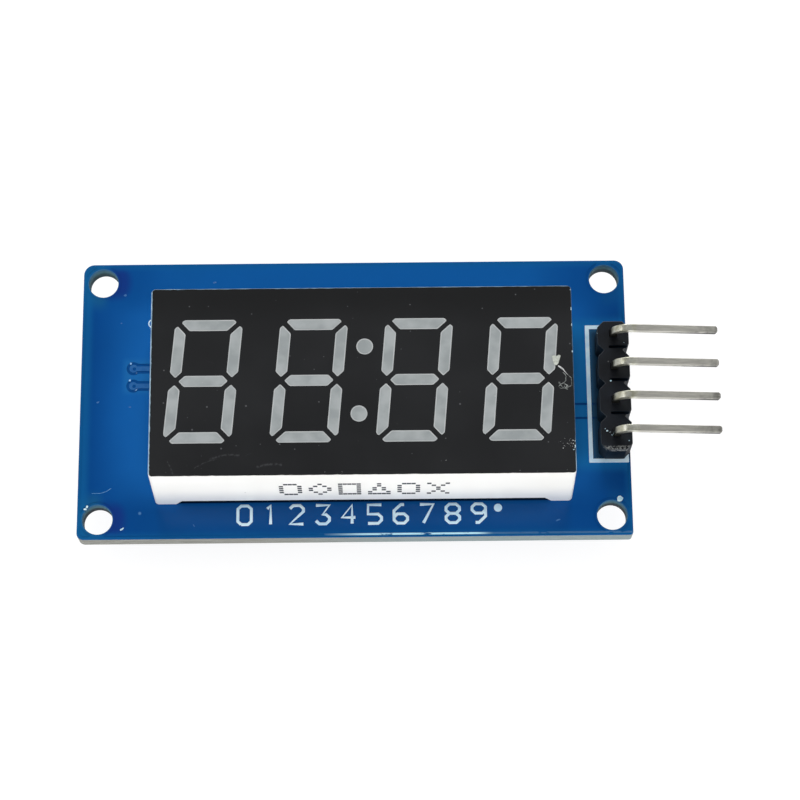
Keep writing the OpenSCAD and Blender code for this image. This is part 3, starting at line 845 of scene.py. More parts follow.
def makeCopperFront():
    low, high = boardHigh.z - board["copper"], boardHigh.z
    piece = addCopper("copperFront", low, high, board["frontClearance"])
    for x, y in tracks["viaPlaces"]:
        combine(piece, viaShape("gap", x, y, tracks["gap"], low - 1, high + 1))
    start, end = tracks["headerGapX"]
    for y in tracks["headerGaps"]:
        half = tracks["headerGapHalf"]
        combine(piece, addBlock("gap", (start, y - half, low - 1), (end, y + half, high + 1)))
    dress(piece, "maskCopper", "maskPad", "maskBare")
    islands = []
    for x, y in tracks["viaPlaces"]:
        island = viaShape("via", x, y, 0, low, high)
        x, y = Vector((x, y)) + tracks["dimpleShift"]
        combine(island, addRod("dimple", x, y, tracks["dimple"], high - tracks["dimpleDepth"], high + 1, 16))
        dress(island, "maskPad", "maskPad", "maskBare")
        islands.append(paint(island, 2, lambda face: face.center.z < high - 0.005))
    piece = join("copperFront", [piece] + islands)
    return done(soften(piece, board["copperRound"], 3), "blue_solder_mask")


makeLaminate()
makeCopperFront()
print("board made")


# white print on the board; a numeral's strokes are points on a grid of 4 by 6
silk = {"thick": 0.015, "ringPlace": (-15.03, 5.92), "ringRadius": 0.31, "ringSteps": (3, 22), "ringLine": 0.045,
        "numberSize": (0.98, 1.4), "numberFrom": (-8.05, -9.62), "numberPitch": 1.9, "numberLine": 0.115,
        "dotPlace": (10.46, -8.53), "dotRadius": 0.3,
        "numerals": ["10 30 41 45 36 16 05 01 10", "15 26 20", "05 16 36 45 44 00 40", "06 46 23 33 42 41 30 10 01",
                     "30 36 02 42", "46 06 03 33 42 41 30 00", "36 26 04 01 10 30 41 42 33 13 02", "06 46 10",
                     "13 04 05 16 36 45 44 33 13 02 01 10 30 41 42 33", "10 20 42 45 36 16 05 04 13 33 44"]}


def makeFramePrint():            # outline of the header
    (left, front), (right, rear), line, base = outline["low"], outline["high"], outline["line"], boardHigh.z
    piece = addPlate("headerOutline", (left, front, base), (right, rear, base + silk["thick"]), outline["round"], 3)
    combine(piece, addBlock("inside", (left + line, front + line, base - 1), (right - line, rear - line, base + 1)))
    return done(dress(piece, "silk"), "blue_solder_mask")


def makeRingPrint():             # a small open ring that peeps out beside the display, in steps of 15 degrees
    x, y = silk["ringPlace"]
    r = silk["ringRadius"]
    ways = [math.radians(15 * step) for step in range(*silk["ringSteps"])]
    ring = [(x + r * math.cos(way), y + r * math.sin(way)) for way in ways]
    return done(dress(addLines("ringPrint", [ring], silk["ringLine"], 0.25, boardHigh.z), "silk"), "blue_solder_mask")


def makeNumberPrint():           # a plain row of the numerals that a digit can show, and a dot
    wide, tall = silk["numberSize"]
    start, y = silk["numberFrom"]
    strokes = []
    for number, shape in enumerate(silk["numerals"]):
        x = start + number * silk["numberPitch"]
        strokes.append([(x + wide * (int(across) / 4 - 0.5), y + tall * int(up) / 6) for across, up in shape.split()])
    lines = addLines("numbers", strokes, silk["numberLine"], 0.15, boardHigh.z, 3)
    dot = addRod("dot", *silk["dotPlace"], silk["dotRadius"], boardHigh.z - silk["thick"], boardHigh.z + silk["thick"])
    piece = smooth(join("numberPrint", [lines, soften(dot, 0.005)]), 60)
    return done(dress(piece, "silk"), "blue_solder_mask")


makeFramePrint()
makeRingPrint()
makeNumberPrint()
print("print made")


# display: white shell, black face and resin segments; the rims are the shell's hairlines at the left, right and back
shell = {"wall": 0.8, "baseProud": 0.15, "cornerRound": 0.3, "edgeRound": 0.04, "footHeight": 0.8, "footTip": 1.55,
         "footRoot": 2.05, "faceDrop": 0.025, "rims": (0.05, 0.015, 0.035), "funnelOver": 0.3}
segment = {"round": 0.09, "rim": 0.075, "dip": 0.012, "drop": 0.012, "throat": 0.6}
shellLow, shellHigh = boxOf("display_shell")
faceLow, faceHigh = boxOf("face_layer")
inkTop = faceHigh.z - shell["faceDrop"]
cavityTop = boxOf("led_substrate")[1].z
segmentNodes = ["digit_%d_segment_%s" % (digit, letter) for digit in range(1, 5) for letter in "abcdefg"]
segmentNodes += ["colon_dot_upper", "colon_dot_lower"]


def mouthOf(node):               # the flat top of a packed segment as a sheet with round corners
    sheet = frame["nodes"][node].copy()
    sheet.data = sheet.data.copy()
    sheet.parent = None
    link(sheet)
    sheet.data.transform(Matrix.Scale(1 / mm, 4))
    top = boxOf(node)[1].z
    shut(sheet)
    openFor(sheet, "faces", lambda face: face.center.z < top - 0.01)
    bpy.ops.mesh.delete(type="FACE")
    bpy.ops.mesh.select_all(action="SELECT")
    bpy.ops.mesh.dissolve_limited(angle_limit=0.02)
    if node.startswith("digit"):
        bpy.ops.mesh.bevel(affect="VERTICES", offset=segment["round"], segments=4)
    close()
    return sheet


def funnelFrom(sheet, name, top, depth):         # the sheet grown downwards into its narrowing funnel
    places = [point.co for point in sheet.data.vertices]
    middle = (Vector(map(min, *places)) + Vector(map(max, *places))) / 2
    piece = copyOf(sheet, name, (0, 0, top - middle.z))
    openFor(piece, "faces", everything)
    pull((0, 0, -depth))
    share = 1 - (1 - segment["throat"]) * depth / (faceHigh.z - cavityTop)
    squeeze((share, share, 1), (middle.x, middle.y, top - depth))
    close()
    return shut(piece)


mouths = {node: mouthOf(node) for node in segmentNodes}


def makeShell():
    piece = addBlock("displayShell", shellLow, shellHigh)
    middle, size = (shellLow + shellHigh) / 2, shellHigh - shellLow
    proud = shell["baseProud"]
    openFor(piece, "faces", facing(0, 0, 1))             # the walls slope outwards from the face down to the feet
    squeeze((1 - 2 * proud / size.x, 1 - 2 * proud / size.y, 1), (middle.x, middle.y, shellHigh.z))
    close()
    openFor(piece, "edges", standing(piece))
    bpy.ops.mesh.bevel(offset=shell["cornerRound"], segments=5, affect="EDGES")
    close()
    inner = shell["wall"] + proud
    cavityHigh = (shellHigh.x - inner, shellHigh.y - inner, cavityTop)
    combine(piece, addBlock("cavity", shellLow + Vector((inner, inner, -1)), cavityHigh))
    for length, turn in ((size.x, 0), (size.y, math.pi / 2)):
        half = length / 2 - shell["footTip"]
        gap = addBlock("gap", (-half, -20, -0.02), (half, 20, shell["footHeight"]))
        openFor(gap, "faces", facing(0, 0, 1))           # the gap narrows towards the shell, so that the feet flare out
        squeeze(((length / 2 - shell["footRoot"]) / half, 1, 1), (0, 0, shell["footHeight"]))
        close()
        combine(piece, copyOf(gap, "gap", (middle.x, middle.y, shellLow.z), turn))
        bpy.data.objects.remove(gap)
    soften(piece, shell["edgeRound"], 3)
    depth = faceHigh.z - cavityTop + shell["funnelOver"]
    combine(piece, join("funnels", [funnelFrom(sheet, "funnel", faceHigh.z, depth) for sheet in mouths.values()]))
    return done(dress(smooth(piece), "shell"), "white_reflector_plastic", "display_shell")


fray = {"cuts": 90, "reach": 0.03, "nickShare": 0.08, "seed": 7}


def makeFace():                  # the black layer, with slightly frayed edges and a window for each segment
    dice = random.Random(fray["seed"])
    left, right, rear = shell["rims"]
    faceFrom, faceTo = faceLow + Vector((left, 0, 0)), faceHigh - Vector((right, rear, 0))
    piece = addSheet("blackFace", faceFrom, faceTo, shell["cornerRound"] - 0.1, 4)
    openFor(piece, "edges", lambda edge: along(piece, edge).length > 5)
    bpy.ops.mesh.subdivide(number_cuts=fray["cuts"])
    close()
    middle, half = (faceFrom + faceTo) / 2, (faceTo - faceFrom) / 2
    for point in piece.data.vertices:
        nick = fray["reach"] * dice.random() ** 4
        nick += fray["reach"] * dice.random() if dice.random() < fray["nickShare"] else 0
        if abs(point.co.x - middle.x) > half.x - 0.001:
            point.co.x -= math.copysign(nick, point.co.x - middle.x)
        elif abs(point.co.y - middle.y) > half.y - 0.001:
            point.co.y -= math.copysign(nick, point.co.y - middle.y)
    raiseUp(piece, inkTop - faceLow.z)
    windows = [raiseUp(copyOf(sheet, "window", (0, 0, -0.5)), 1) for sheet in mouths.values()]
    combine(piece, join("windows", windows))
    return done(dress(piece, "face"), "black_face", "face_layer")


def makeSegment(node, sheet):
    top = inkTop - segment["drop"]
    name = node.replace("_segment_", "Resin").replace("digit_", "digit").replace("colon_dot_", "colonResin")
    piece = funnelFrom(sheet, name, top, top - cavityTop)
    openFor(piece, "faces", facing(0, 0, 1))
    bpy.ops.mesh.inset(thickness=segment["rim"], depth=-segment["dip"])
    close()
    dress(piece, "resin", "resinRim")
    upper = [face for face in piece.data.polygons if face.normal.z > 0.5]
    largest = max(upper, key=lambda face: face.area).index
    paint(piece, 1, lambda face: face.normal.z > 0.5 and face.index != largest)
    return done(smooth(piece, 30), "segment_resin", node)


makeShell()
makeFace()
for node, sheet in mouths.items():
    makeSegment(node, sheet)
    bpy.data.objects.remove(sheet)
print("display made")


# marks on the display: dried glue on a segment, and a burr with branches and curls; a line's point has its thickness
marks = {"seed": 21, "lineRadius": 0.034, "lineFlat": 0.35, "lineOver": 0.004,
         "glue": [(14.23, 0.74), (14.29, 0.34), (14.39, 0.08), (14.55, 0.06), (14.68, 0.22), (14.85, 0.76),
                  (14.74, 0.85), (14.57, 0.74), (14.41, 0.81)], "glueSunk": 0.012, "glueThick": 0.034,
         "burr": [[(14.65, 0.02, 1.3), (14.82, -0.10, 1.8), (15.00, -0.25, 1.3), (15.12, -0.42, 0.8),
                   (15.26, -0.60, 0.55)]],
         "tail": [[(15.24, -0.58, 0.6), (15.42, -0.76, 0.45), (15.58, -0.90, 0.4)],
                  [(15.56, -0.91, 0.3), (15.58, -1.48, 0.2)],
                  [(14.97, -0.47, 0.5), (15.12, -0.62, 0.7), (15.20, -0.78, 0.4), (15.16, -0.93, 0.8),
                   (15.18, -1.08, 0.5), (15.01, -1.27, 0.7), (14.79, -1.36, 0.5), (14.62, -1.53, 0.8),
                   (14.78, -1.44, 0.5), (14.91, -1.59, 0.7), (15.05, -1.67, 0.6), (15.21, -1.59, 0.8),
                   (15.32, -1.62, 0.6), (15.27, -1.45, 0.8), (15.06, -1.33, 0.5)]],
         "curls": 6, "curlSteps": 6, "curlMiddle": (15.05, -1.42), "curlReach": (0.36, 0.24), "curlStep": (0.09, 0.07),
         "curlLeft": 14.68, "curlRightInset": 0.05}


def makeGlue():
    piece = addDisc("driedGlue", 0.3, len(marks["glue"]))
    for point, (x, y) in zip(piece.data.vertices, marks["glue"]):
        point.co = (x, y, inkTop - marks["glueSunk"])
    soften(raiseUp(piece, marks["glueThick"]), 0.012)
    return done(dress(smooth(piece), "flake"), "segment_resin")


def makeCurl(dice):              # a short line that wanders and stays on the black layer
    x, y = marks["curlMiddle"]
    wide, tall = marks["curlReach"]
    path = [(x + wide * (2 * dice.random() - 1), y + tall * (2 * dice.random() - 1), 0.3)]
    way = dice.random() * 6.28
    for _ in range(marks["curlSteps"]):
        way += dice.random() * 1.6 - 0.5
        x = max(path[-1][0] + marks["curlStep"][0] * math.cos(way), marks["curlLeft"])
        y = path[-1][1] + marks["curlStep"][1] * math.sin(way)
        path.append((min(x, faceHigh.x - marks["curlRightInset"]), y, 0.35 + 0.4 * dice.random()))
    return path


def makeBurr():
    dice = random.Random(marks["seed"])
    curls = [makeCurl(dice) for _ in range(marks["curls"])]
    for name, lines, finish in (("burr", marks["burr"], "hair"), ("burrCurls", marks["tail"] + curls, "hairDim")):
        piece = addLines(name, lines, marks["lineRadius"], marks["lineFlat"], inkTop + marks["lineOver"])
        done(dress(piece, finish), "white_reflector_plastic")


def makeFlecks(name, places, top, finish, slotName, thick=0.02):         # uneven blobs with their top at that height
    dice = random.Random(marks["seed"])
    blobs = []
    for x, y, long, wide, turn in places:
        blob = addDisc("fleck", 1, 10, top - thick / 2)
        blob.scale = (long, wide, 1)
        settle(blob)
        for point in blob.data.vertices:
            point.co.x *= 0.75 + 0.4 * dice.random()
            point.co.y *= 0.75 + 0.4 * dice.random()
        raiseUp(blob, thick)
        blobs.append(soften(copyOf(blob, "fleck", (x, y, 0), math.radians(turn)), thick * 0.45))
        bpy.data.objects.remove(blob)
    return done(dress(smooth(join(name, blobs)), finish), slotName)


# small flat blobs: the bright, blue and rim ones are painted highlights, the housing ones are dust, and the dull ones
# are dust, with two faint painted highlights by the vias; each has its place, reach both ways, turn
flecks = {"bright": [(19.40, -7.95, 0.25, 0.23, 30), (-19.57, -8.17, 0.11, 0.09, 40),
                     (-19.70, -8.36, 0.12, 0.09, 10), (-16.98, -9.88, 0.19, 0.07, 35)],
          "blue": [(-16.61, 2.78, 0.07, 0.09, 0), (-16.65, 1.48, 0.08, 0.09, 0), (-16.16, 0.74, 0.07, 0.04, 30)],
          "rim": [(15.70, 4.30, 0.034, 0.15, 0), (15.71, 3.10, 0.025, 0.12, 0), (15.70, 1.08, 0.035, 0.09, 0),
                  (15.69, 5.75, 0.03, 0.05, 0), (15.70, -5.58, 0.03, 0.04, 0), (15.69, -5.95, 0.04, 0.12, 0),
                  (15.58, -6.20, 0.06, 0.03, 40)],
          "housing": [(18.41, -3.50, 0.08, 0.07, 0), (18.27, -3.34, 0.04, 0.03, 30), (18.90, -3.69, 0.07, 0.06, 10),
                      (18.76, -3.80, 0.04, 0.04, 0), (18.81, 0.31, 0.07, 0.06, 0), (17.92, 4.00, 0.03, 0.03, 0),
                      (19.88, 3.26, 0.03, 0.03, 0), (19.98, -4.25, 0.04, 0.04, 0), (18.62, -3.62, 0.03, 0.03, 0)],
          "dull": [(14.83, -9.50, 0.19, 0.06, 20), (-17.14, 8.19, 0.12, 0.09, 10), (-10.45, 9.14, 0.14, 0.07, 20),
                   (-18.98, -0.19, 0.13, 0.07, 30), (-16.60, -0.59, 0.10, 0.05, 0), (-17.39, 5.97, 0.08, 0.05, 0),
                   (-11.74, -9.66, 0.12, 0.04, 120), (-16.18, 2.04, 0.09, 0.05, 40), (-16.22, 0.70, 0.09, 0.05, 40)],
          "scuff": [(-19.25, -7.17), (-18.61, -7.17), (-18.17, -7.02), (-17.84, -6.79)]}


def makeScuff():                 # a faint curved scratch in the mask beside a hole
    piece = addLines("maskScuff", [flecks["scuff"]], 0.016, 0.3, boardHigh.z)
    return done(dress(piece, "maskScuff"), "blue_solder_mask")


# small pale chips where the black layer has flaked: thick at a corner, a few along the front edge, and single ones
chips = {"corner": (14.5, -5.35), "cornerReach": (1.2, 0.8), "cornerCount": 26,
         "edge": -7.6, "edgeReach": 0.2, "edgeInset": 0.5, "edgeCount": 5, "rightInset": 0.06,
         "single": [(6.55, -6.9), (1.7, -0.9), (9.9, 1.4), (13.3, -1.9), (-10.7, -1.0), (10.1, -2.2)],
         "radius": 0.010, "radiusMore": 0.022, "sunk": 0.01, "thick": 0.014}


def makeChips():
    dice = random.Random(marks["seed"])
    x, y = chips["corner"]
    wide, tall = chips["cornerReach"]
    places = [(x + wide * dice.random() ** 0.6, y - dice.random() * tall) for _ in range(chips["cornerCount"])]
    start, run = faceLow.x + chips["edgeInset"], faceHigh.x - faceLow.x - 2 * chips["edgeInset"]
    places += [(start + dice.random() * run, chips["edge"] - dice.random() * chips["edgeReach"])
               for _ in range(chips["edgeCount"])]
    flakes = []
    for x, y in places + chips["single"]:
        radius = chips["radius"] + chips["radiusMore"] * dice.random() ** 2
        place = (min(x, faceHigh.x - chips["rightInset"]), y)
        flake = addDisc("flake", radius, 7, inkTop - chips["sunk"], place, dice.random() * 6)
        for point in flake.data.vertices:
            point.co.x += (dice.random() - 0.5) * 0.03
        flakes.append(raiseUp(flake, chips["thick"]))
    return done(dress(join("faceChips", flakes), "hair"), "white_reflector_plastic")


# simple dotted shapes in dark ink on the front wall, on a grid of 5 by 6
dotted = {"start": -4.55, "step": 2.12, "top": 4.85, "rowStep": 0.5, "columnStep": 0.33, "half": (0.155, 0.17),
          "sunk": 0.02, "proud": 0.012,
          "shapes": ["01110 10001 10001 10001 10001 01110", "00100 01010 10001 10001 01010 00100",
                     "11111 10001 10001 10001 10001 11111", "00100 00100 01010 01010 10001 11111",
                     "01110 10001 10001 10001 10001 01110", "10001 01010 00100 00100 01010 10001"]}


def makeDottedMarks():
    dots = []
    wide, tall = dotted["half"]
    for place, shape in enumerate(dotted["shapes"]):
        for row, line in enumerate(shape.split()):
            for column in [at for at, mark in enumerate(line) if mark == "1"]:
                x = dotted["start"] + place * dotted["step"] + (column - 2) * dotted["columnStep"]
                z = shellLow.z + dotted["top"] - row * dotted["rowStep"]
                wall = shellLow.y + shell["baseProud"] * (z - shellLow.z) / (shellHigh.z - shellLow.z)
                dots.append(addBlock("dot", (x - wide, wall - dotted["proud"], z - tall),
                                     (x + wide, wall + dotted["sunk"], z + tall)))
    piece = soften(join("dottedMarks", dots), 0.01, 1)
    return done(dress(piece, "inkMark"), "black_face")


housingLow, housingHigh = boxOf("header_housing")
makeGlue()
makeBurr()
# painted highlights as pale blobs on the mask, on the vias and on the display's rim; dust on the housing and the mask
makeFlecks("maskGlints", flecks["bright"], boardHigh.z + 0.01, "glintAndDust", "blue_solder_mask")
makeFlecks("viaGlints", flecks["blue"], boardHigh.z + 0.01, "viaGlint", "blue_solder_mask")
makeFlecks("rimGlints", flecks["rim"], inkTop + 0.012, "glintAndDust", "white_reflector_plastic")
makeFlecks("housingDust", flecks["housing"], housingHigh.z - 0.001, "glintAndDust", "black_housing_plastic", 0.01)
makeFlecks("maskDustAndGlints", flecks["dull"], boardHigh.z + 0.004, "maskDustAndGlints", "blue_solder_mask")
makeScuff()
makeChips()
makeDottedMarks()
print("marks made")


# header: four moulded cells in one bar, and four bent wires; a neck is the recess behind a break line
header = {"cut": 0.46, "edgeRound": 0.07, "neckInset": 0.8, "neckWide": 0.36, "neckDeep": 0.34, "neckLean": 0.6,
          "wireGap": 0.03, "bendRadius": 1.0, "droop": 6.0, "tip": 0.12, "tipShare": 0.55, "wireRound": 0.045}


def addCell(start, end):         # one moulded cell, open at both ends, so that the cells merge into one bar
    cell = addBlock("cell", (housingLow.x, start, housingLow.z), (housingHigh.x, end, housingHigh.z))
    openFor(cell, "edges", standing(cell))
    bpy.ops.mesh.bevel(offset=header["cut"], segments=1, affect="EDGES")
    close()
    openFor(cell, "faces", lambda face: abs(face.normal.y) > 0.99)
    bpy.ops.mesh.delete(type="ONLY_FACE")
    close()
    return cell


def makeHousing():               # the last cell is short, where the bar was snapped off
    pitch = wirePlaces[0].y - wirePlaces[1].y
    starts = [housingLow.y + pitch * i for i in range(len(wirePlaces))]
    piece = shut(join("headerHousing", [addCell(start, min(start + pitch, housingHigh.y)) for start in starts]))
    for end in (housingLow.y, housingHigh.y):
        points = piece.data.vertices
        openFor(piece, "edges", lambda edge: all(abs(points[v].co.y - end) < 0.001 for v in edge.vertices))
        bpy.ops.mesh.edge_face_add()
        close()
    soften(shut(piece), header["edgeRound"], 3)
    reach = wireSide / 2 + header["wireGap"]
    for x, y in wirePlaces:
        combine(piece, addBlock("hole", (x - reach, y - reach, 0), (x + reach, y + reach, 6)))
    for line in starts[1:]:
        neck = addBlock("neck", (housingLow.x + header["neckInset"], line - 0.02, housingHigh.z - header["neckDeep"]),
                        (housingHigh.x + 1, line + header["neckWide"], housingHigh.z + 1))
        openFor(neck, "points", lambda point: point.co.z < housingHigh.z and point.co.y < line + 0.01)
        bpy.ops.transform.translate(value=(0, header["neckWide"] * header["neckLean"], 0))
        close()
        combine(piece, neck)
    dress(smooth(piece), "housing", "housingEdgeHighlight", "housingSideShade")
    # the bevels take the lighter copy, a painted highlight, and the upright faces and the necks the dull copy, painted
    # shade
    paint(piece, 1, lambda face: 0.2 < face.normal.z < 0.93)
    paint(piece, 2, lambda face: abs(face.normal.z) < 0.2 or
          housingLow.z + 0.2 < face.center.z < housingHigh.z - 0.08)
    return done(piece, "black_housing_plastic", "header_housing")


def makeWires():
    low, high = wireBoxes[0]
    x, y = wirePlaces[0]
    half, radius, tip = wireSide / 2, header["bendRadius"], header["tip"]
    narrow = (header["tipShare"],) * 3
    bendZ = high.z - radius - half
    wire = addBlock("wire", (x - half, y - half, low.z + tip), (x + half, y + half, bendZ))
    openFor(wire, "faces", facing(0, 0, -1))         # the tail and its bevelled tip
    pull((0, 0, -tip))
    squeeze(narrow, (x, y, low.z))
    close()
    droop = math.radians(header["droop"])
    openFor(wire, "faces", facing(0, 0, 1))          # the bend, the run and its tip
    bpy.ops.mesh.spin(steps=12, angle=-(math.pi / 2 + droop), center=(x + radius, y, bendZ), axis=(0, 1, 0))
    way = Vector((math.cos(droop), 0, -math.sin(droop)))
    start = Vector((x + radius * (1 + math.sin(droop)), y, bendZ + radius * math.cos(droop)))
    run = (high.x - half * math.sin(droop) * header["tipShare"] - start.x) / way.x - tip
    pull(way * run)
    pull(way * tip)
    squeeze(narrow, start + way * (run + tip))
    clearInside()
    smooth(soften(shut(wire), header["wireRound"]), 40)
    handOut(wire, wirePlaces, "headerWire%d", "header_pin_%d", "wire", "header_wire")


makeHousing()
makeWires()
print("header made")


# behind the board: solder, pins, chip and small parts; a pad reaches inwards, outwards and sideways from its middle
back = {"padThick": 0.02, "padOver": 0.01, "padGap": 0.13, "padRound": 0.06, "leadPad": (-0.75, 0.12, 0.3),
        "smallPad": (0.32, 0.95, 0.48), "pinCone": (1.7, 1.1, 0.25), "wireCone": (1.9, 1.0, 0.3), "coneSteps": 7,
        "pinTip": 0.08, "pinTipShare": 0.6}


def makeJoint(wide, tall, lead):     # a solder joint, wide at its pad, that narrows downwards onto its lead
    steps = back["coneSteps"]
    piece = addDisc("joint", wide / 2, 32)
    openFor(piece, "faces", everything)
    last = wide / 2
    for i in range(1, steps):
        radius = max(wide / 2 * (1 - i / steps) ** 1.7, lead)
        pull((0, 0, -tall / steps))
        squeeze((radius / last, radius / last, 1), (0, 0, -tall * i / steps))
        last = radius
    close()
    return smooth(shut(piece), 50)


def makeSolder():
    for name, node, cone, places in (("pinSolder", "display_solder", "pinCone", pinPlaces),
                                     ("headerSolder", "header_solder", "wireCone", wirePlaces)):
        done(dress(spread(makeJoint(*back[cone]), name, places), "solder"), "solder", node)


def makePins():
    low, high = boxOf("display_pin_1")
    x, y = pinPlaces[0]
    tip, share = back["pinTip"], back["pinTipShare"]
    pin = addRod("pin", x, y, (high.x - low.x) / 2, low.z + tip, high.z, 20)
    openFor(pin, "faces", facing(0, 0, -1))
    pull((0, 0, -tip))
    squeeze((share, share, 1), (x, y, low.z))
    close()
    smooth(shut(pin), 40)
    handOut(pin, pinPlaces, "displayPin%d", "display_pin_%d", "pin", "tinned_pin")


chip = {"draft": 0.15, "edgeRound": 0.06, "dimple": 0.5, "dimpleInset": 1.0, "dimpleDepth": 0.1, "leads": 10,
        "pitch": 1.27, "leadWide": 0.4, "leadThick": 0.25, "leadSunk": 0.05, "leadStraight": 0.25, "bend": 0.275,
        "turn": 85.0, "leadRound": 0.03}
chipLow, chipHigh = boxOf("driver_chip")
leadLow, leadHigh = boxOf("driver_leads")
chipMiddle = (chipLow + chipHigh) / 2
leadRows = [chipMiddle.y + (i - (chip["leads"] - 1) / 2) * chip["pitch"] for i in range(chip["leads"])]


def makeChip():
    piece = addBlock("driverChip", chipLow, chipHigh)
    half = chip["leadThick"] / 2
    for z in (chipMiddle.z - half, chipMiddle.z + half):
        openFor(piece, "faces", everything)
        bpy.ops.mesh.bisect(plane_co=(0, 0, z), plane_no=(0, 0, 1))
        close()
    size = chipHigh - chipLow
    shares = (1 - 2 * chip["draft"] / size.x, 1 - 2 * chip["draft"] / size.y, 1)
    for side in (-1, 1):
        openFor(piece, "faces", facing(0, 0, side))
        squeeze(shares, (chipMiddle.x, chipMiddle.y, chipMiddle.z + side * size.z / 2))
        close()
    soften(piece, chip["edgeRound"], 2, 5)
    x, y = chipLow.x + chip["dimpleInset"], chipHigh.y - chip["dimpleInset"]
    combine(piece, addRod("dimple", x, y, chip["dimple"], chipLow.z - 1, chipLow.z + chip["dimpleDepth"], 40))
    return done(dress(smooth(piece), "mould"), "chip_moulding", "driver_chip")


def makeLeads():                 # straight out of the chip, bent towards the board, and bent back into a flat foot
    half, wide, bend = chip["leadThick"] / 2, chip["leadWide"] / 2, chip["bend"]
    turn = math.radians(chip["turn"])
    level = chipMiddle.z
    drop = -half - level             # from the middle of the straight part to the middle of the foot
    rise = (drop - 2 * bend * (1 - math.cos(turn))) / math.sin(turn)
    start = (chipHigh.x - chipLow.x) / 2 - chip["leadSunk"]
    knee = start + chip["leadStraight"]
    slope = Vector((rise * math.cos(turn), 0, rise * math.sin(turn)))
    end = Vector((knee + bend * math.sin(turn), 0, level + bend * (1 - math.cos(turn)))) + slope
    foot = end + Vector((math.sin(turn), 0, -math.cos(turn))) * bend
    lead = addBlock("lead", (start, -wide, level - half), (knee, wide, level + half))
    openFor(lead, "faces", facing(1, 0, 0))
    bpy.ops.mesh.spin(steps=5, angle=turn, center=(knee, 0, level + bend), axis=(0, 1, 0))
    pull(slope)
    bpy.ops.mesh.spin(steps=5, angle=-turn, center=foot, axis=(0, 1, 0))
    pull(((leadHigh.x - leadLow.x) / 2 - foot.x, 0, 0))
    clearInside()
    smooth(soften(shut(lead), chip["leadRound"], 2, 40), 40)
    copies = [copyOf(lead, "lead", (chipMiddle.x, y, 0), side) for y in leadRows for side in (0, math.pi)]
    bpy.data.objects.remove(lead)
    return done(dress(join("chipLeads", copies), "lead"), "lead_tin", "driver_leads")


small = {"length": 1.6, "width": 0.8, "cap": 0.3, "bodyInset": 0.1, "bodySlim": 0.02, "bodyRound": 0.03,
         "capRound": 0.05, "loneY": -0.9}
resistorLow, resistorHigh = boxOf("pull_up_resistors")
capLow, capHigh = boxOf("capacitors")
halfLong, halfWide = small["length"] / 2, small["width"] / 2
resistorX = (resistorLow.x + resistorHigh.x) / 2
resistorPlaces = [(resistorX, resistorLow.y + halfWide), (resistorX, resistorHigh.y - halfWide)]
capPlaces = [(capHigh.x - halfLong, capLow.y + halfWide), (capHigh.x - halfLong, capHigh.y - halfWide),
             (capLow.x + halfLong, small["loneY"])]


def makeSmallParts(name, node, places, finish, slotName):        # ceramic bodies between two metal caps
    low, high = boxOf(node)
    tall, slim, reach = high.z - low.z, small["bodySlim"], halfLong - small["bodyInset"]
    body = addBlock(name, (-reach, slim - halfWide, slim - tall), (reach, halfWide - slim, -slim))
    parts = [dress(soften(body, small["bodyRound"]), finish, "solder")]
    for side in (-1, 1):
        first, last = sorted((side * (halfLong - small["cap"]), side * halfLong))
        cap = soften(addBlock("cap", (first, -halfWide, -tall), (last, halfWide, 0)), small["capRound"])
        parts.append(paint(dress(cap, finish, "solder"), 1, everything))
    piece = spread(smooth(join(name, parts), 40), name, places)
    return done(piece, slotName, node)


def padBox(x, y, side, size):        # a bare pad, on that side of a part's middle
    inner, outer, half = size
    first, last = sorted((x + side * inner, x + side * outer))
    return Vector((first, y - half, -back["padThick"])), Vector((last, y + half, back["padOver"]))


padBoxes = []
for side in (-1, 1):
    tips = chipMiddle.x + side * (leadHigh.x - leadLow.x) / 2
    padBoxes += [padBox(tips, y, side, back["leadPad"]) for y in leadRows]
    padBoxes += [padBox(x, y, side, back["smallPad"]) for x, y in resistorPlaces + capPlaces]


def makeCopperBack():
    low, high = boardLow.z, boardLow.z + board["copper"]
    piece = addCopper("copperBack", low, high, board["backClearance"])
    gap = Vector((back["padGap"], back["padGap"], 1))
    combine(piece, join("gaps", [addBlock("gap", padLow - gap, padHigh + gap) for padLow, padHigh in padBoxes]))
    dress(piece, "maskCopper")
    return done(soften(piece, board["copperRound"], 3), "blue_solder_mask")


def makePads():
    pads = [addPlate("pad", low, high, back["padRound"], 3) for low, high in padBoxes]
    return done(dress(join("backPads", pads), "pad"), "blue_solder_mask")


makeCopperBack()
makePads()
makeSolder()
makePins()
makeChip()
makeLeads()
makeSmallParts("smallResistors", "pull_up_resistors", resistorPlaces, "glaze", "resistor_body")
makeSmallParts("smallCapacitors", "capacitors", capPlaces, "tan", "capacitor_body")
for node, finish in (("rear_seal", "seal"), ("led_substrate", "substrate"), ("led_chips", "crystal")):
    dress(frame["nodes"][node], finish)
print("back made")


# camera, lights and floor: the camera's place is in millimetres, and a lamp has its place, side and power
camera = {"place": (2.698, -52.965, 173.552), "turn": (17.051, -0.052, -0.573), "lens": 109.268, "sensor": 36,
          "clip": (0.005, 5)}
lamps = {"left": ((-0.32, 0.0, 0.24), 0.30, 0.62), "right": ((0.33, 0.0, 0.24), 0.30, 0.50),
         "front": ((0.0, -0.44, 0.12), 0.36, 2.0), "back": ((0.0, 0.42, 0.28), 0.30, 1.63)}
surroundings = {"world": "8c8e90", "worldStrength": 0.4, "floor": "f2f2f2", "floorSize": 3, "floorGap": 0.0001,
                "white": 0.7, "glow": 1.2}


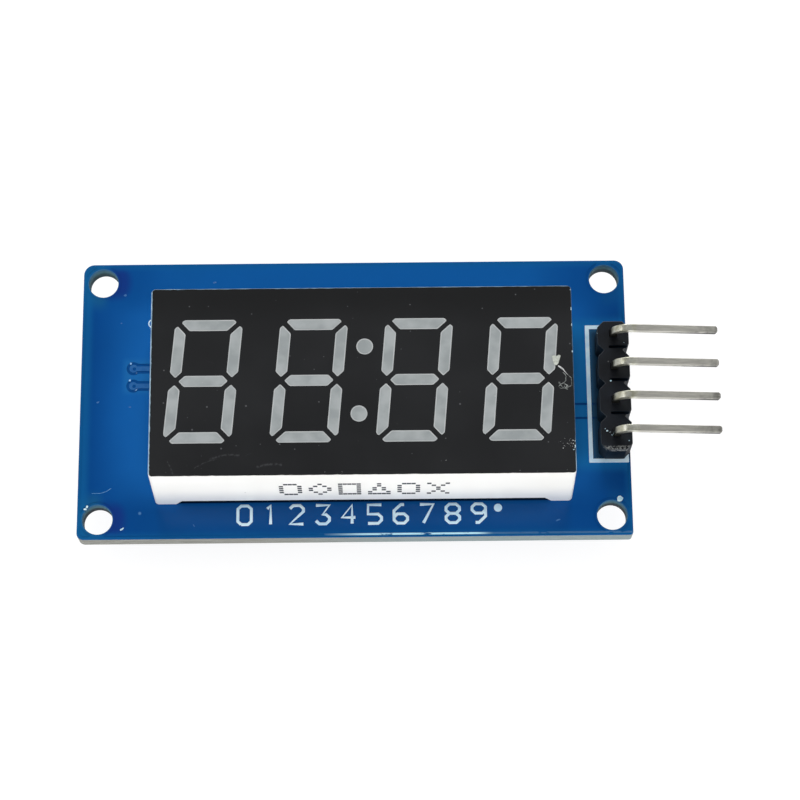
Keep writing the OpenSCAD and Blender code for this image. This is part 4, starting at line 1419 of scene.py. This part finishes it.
def addCamera():
    view = bpy.data.cameras.new("camera")
    view.sensor_width = camera["sensor"]
    view.lens = camera["lens"]
    view.clip_start, view.clip_end = camera["clip"]
    eye = link(bpy.data.objects.new("camera", view))
    eye.location = Vector(camera["place"]) * mm
    eye.rotation_euler = [math.radians(angle) for angle in camera["turn"]]
    bpy.context.scene.camera = eye


def addLamp(name, place, side, power):           # a square lamp that looks at the middle
    light = bpy.data.lights.new(name, "AREA")
    light.shape, light.size, light.energy = "SQUARE", side, power
    lamp = link(bpy.data.objects.new(name, light))
    lamp.location = place
    lamp.rotation_euler = Vector(place).to_track_quat("Z", "Y").to_euler()


def addFloor():                  # plain pale floor; the background is white by its colour, and it keeps the shadow
    height = cadBox[0].z - surroundings["floorGap"]
    bpy.ops.mesh.primitive_plane_add(size=surroundings["floorSize"], location=(0, 0, height))
    floor = settle(named("floor"))
    paper = bpy.data.materials.new("floorPaper")
    paper.use_nodes = True
    tree = paper.node_tree
    shader = tree.nodes["Principled BSDF"]
    shader.inputs["Base Color"].default_value = tone(surroundings["floor"])
    shader.inputs["Roughness"].default_value = 0.9
    shader.inputs["Specular IOR Level"].default_value = 0.0
    rays = tree.nodes.new("ShaderNodeLightPath").outputs
    seen = calc(tree, "MAXIMUM", rays["Is Camera Ray"], rays["Is Glossy Ray"])
    seen = calc(tree, "MAXIMUM", seen, rays["Is Transmission Ray"])
    glow = addNode(tree, "ShaderNodeEmission", {"Color": (1, 1, 1, 1), "Strength": surroundings["glow"]})
    parts = {0: times(tree, seen, surroundings["white"]), 1: shader.outputs[0], 2: glow.outputs[0]}
    mix = addNode(tree, "ShaderNodeMixShader", parts)
    tree.links.new(mix.outputs[0], tree.nodes["Material Output"].inputs["Surface"])
    floor.data.materials.append(paper)


def setWorld():
    world = bpy.data.worlds.new("studio")
    bpy.context.scene.world = world
    world.use_nodes = True
    background = world.node_tree.nodes["Background"].inputs
    background["Color"].default_value = tone(surroundings["world"])
    background["Strength"].default_value = surroundings["worldStrength"]


addCamera()
for name, (place, side, power) in lamps.items():
    addLamp(name, place, side, power)
addFloor()
setWorld()
bpy.context.scene.view_settings.view_transform = "Standard"
print("stage set")
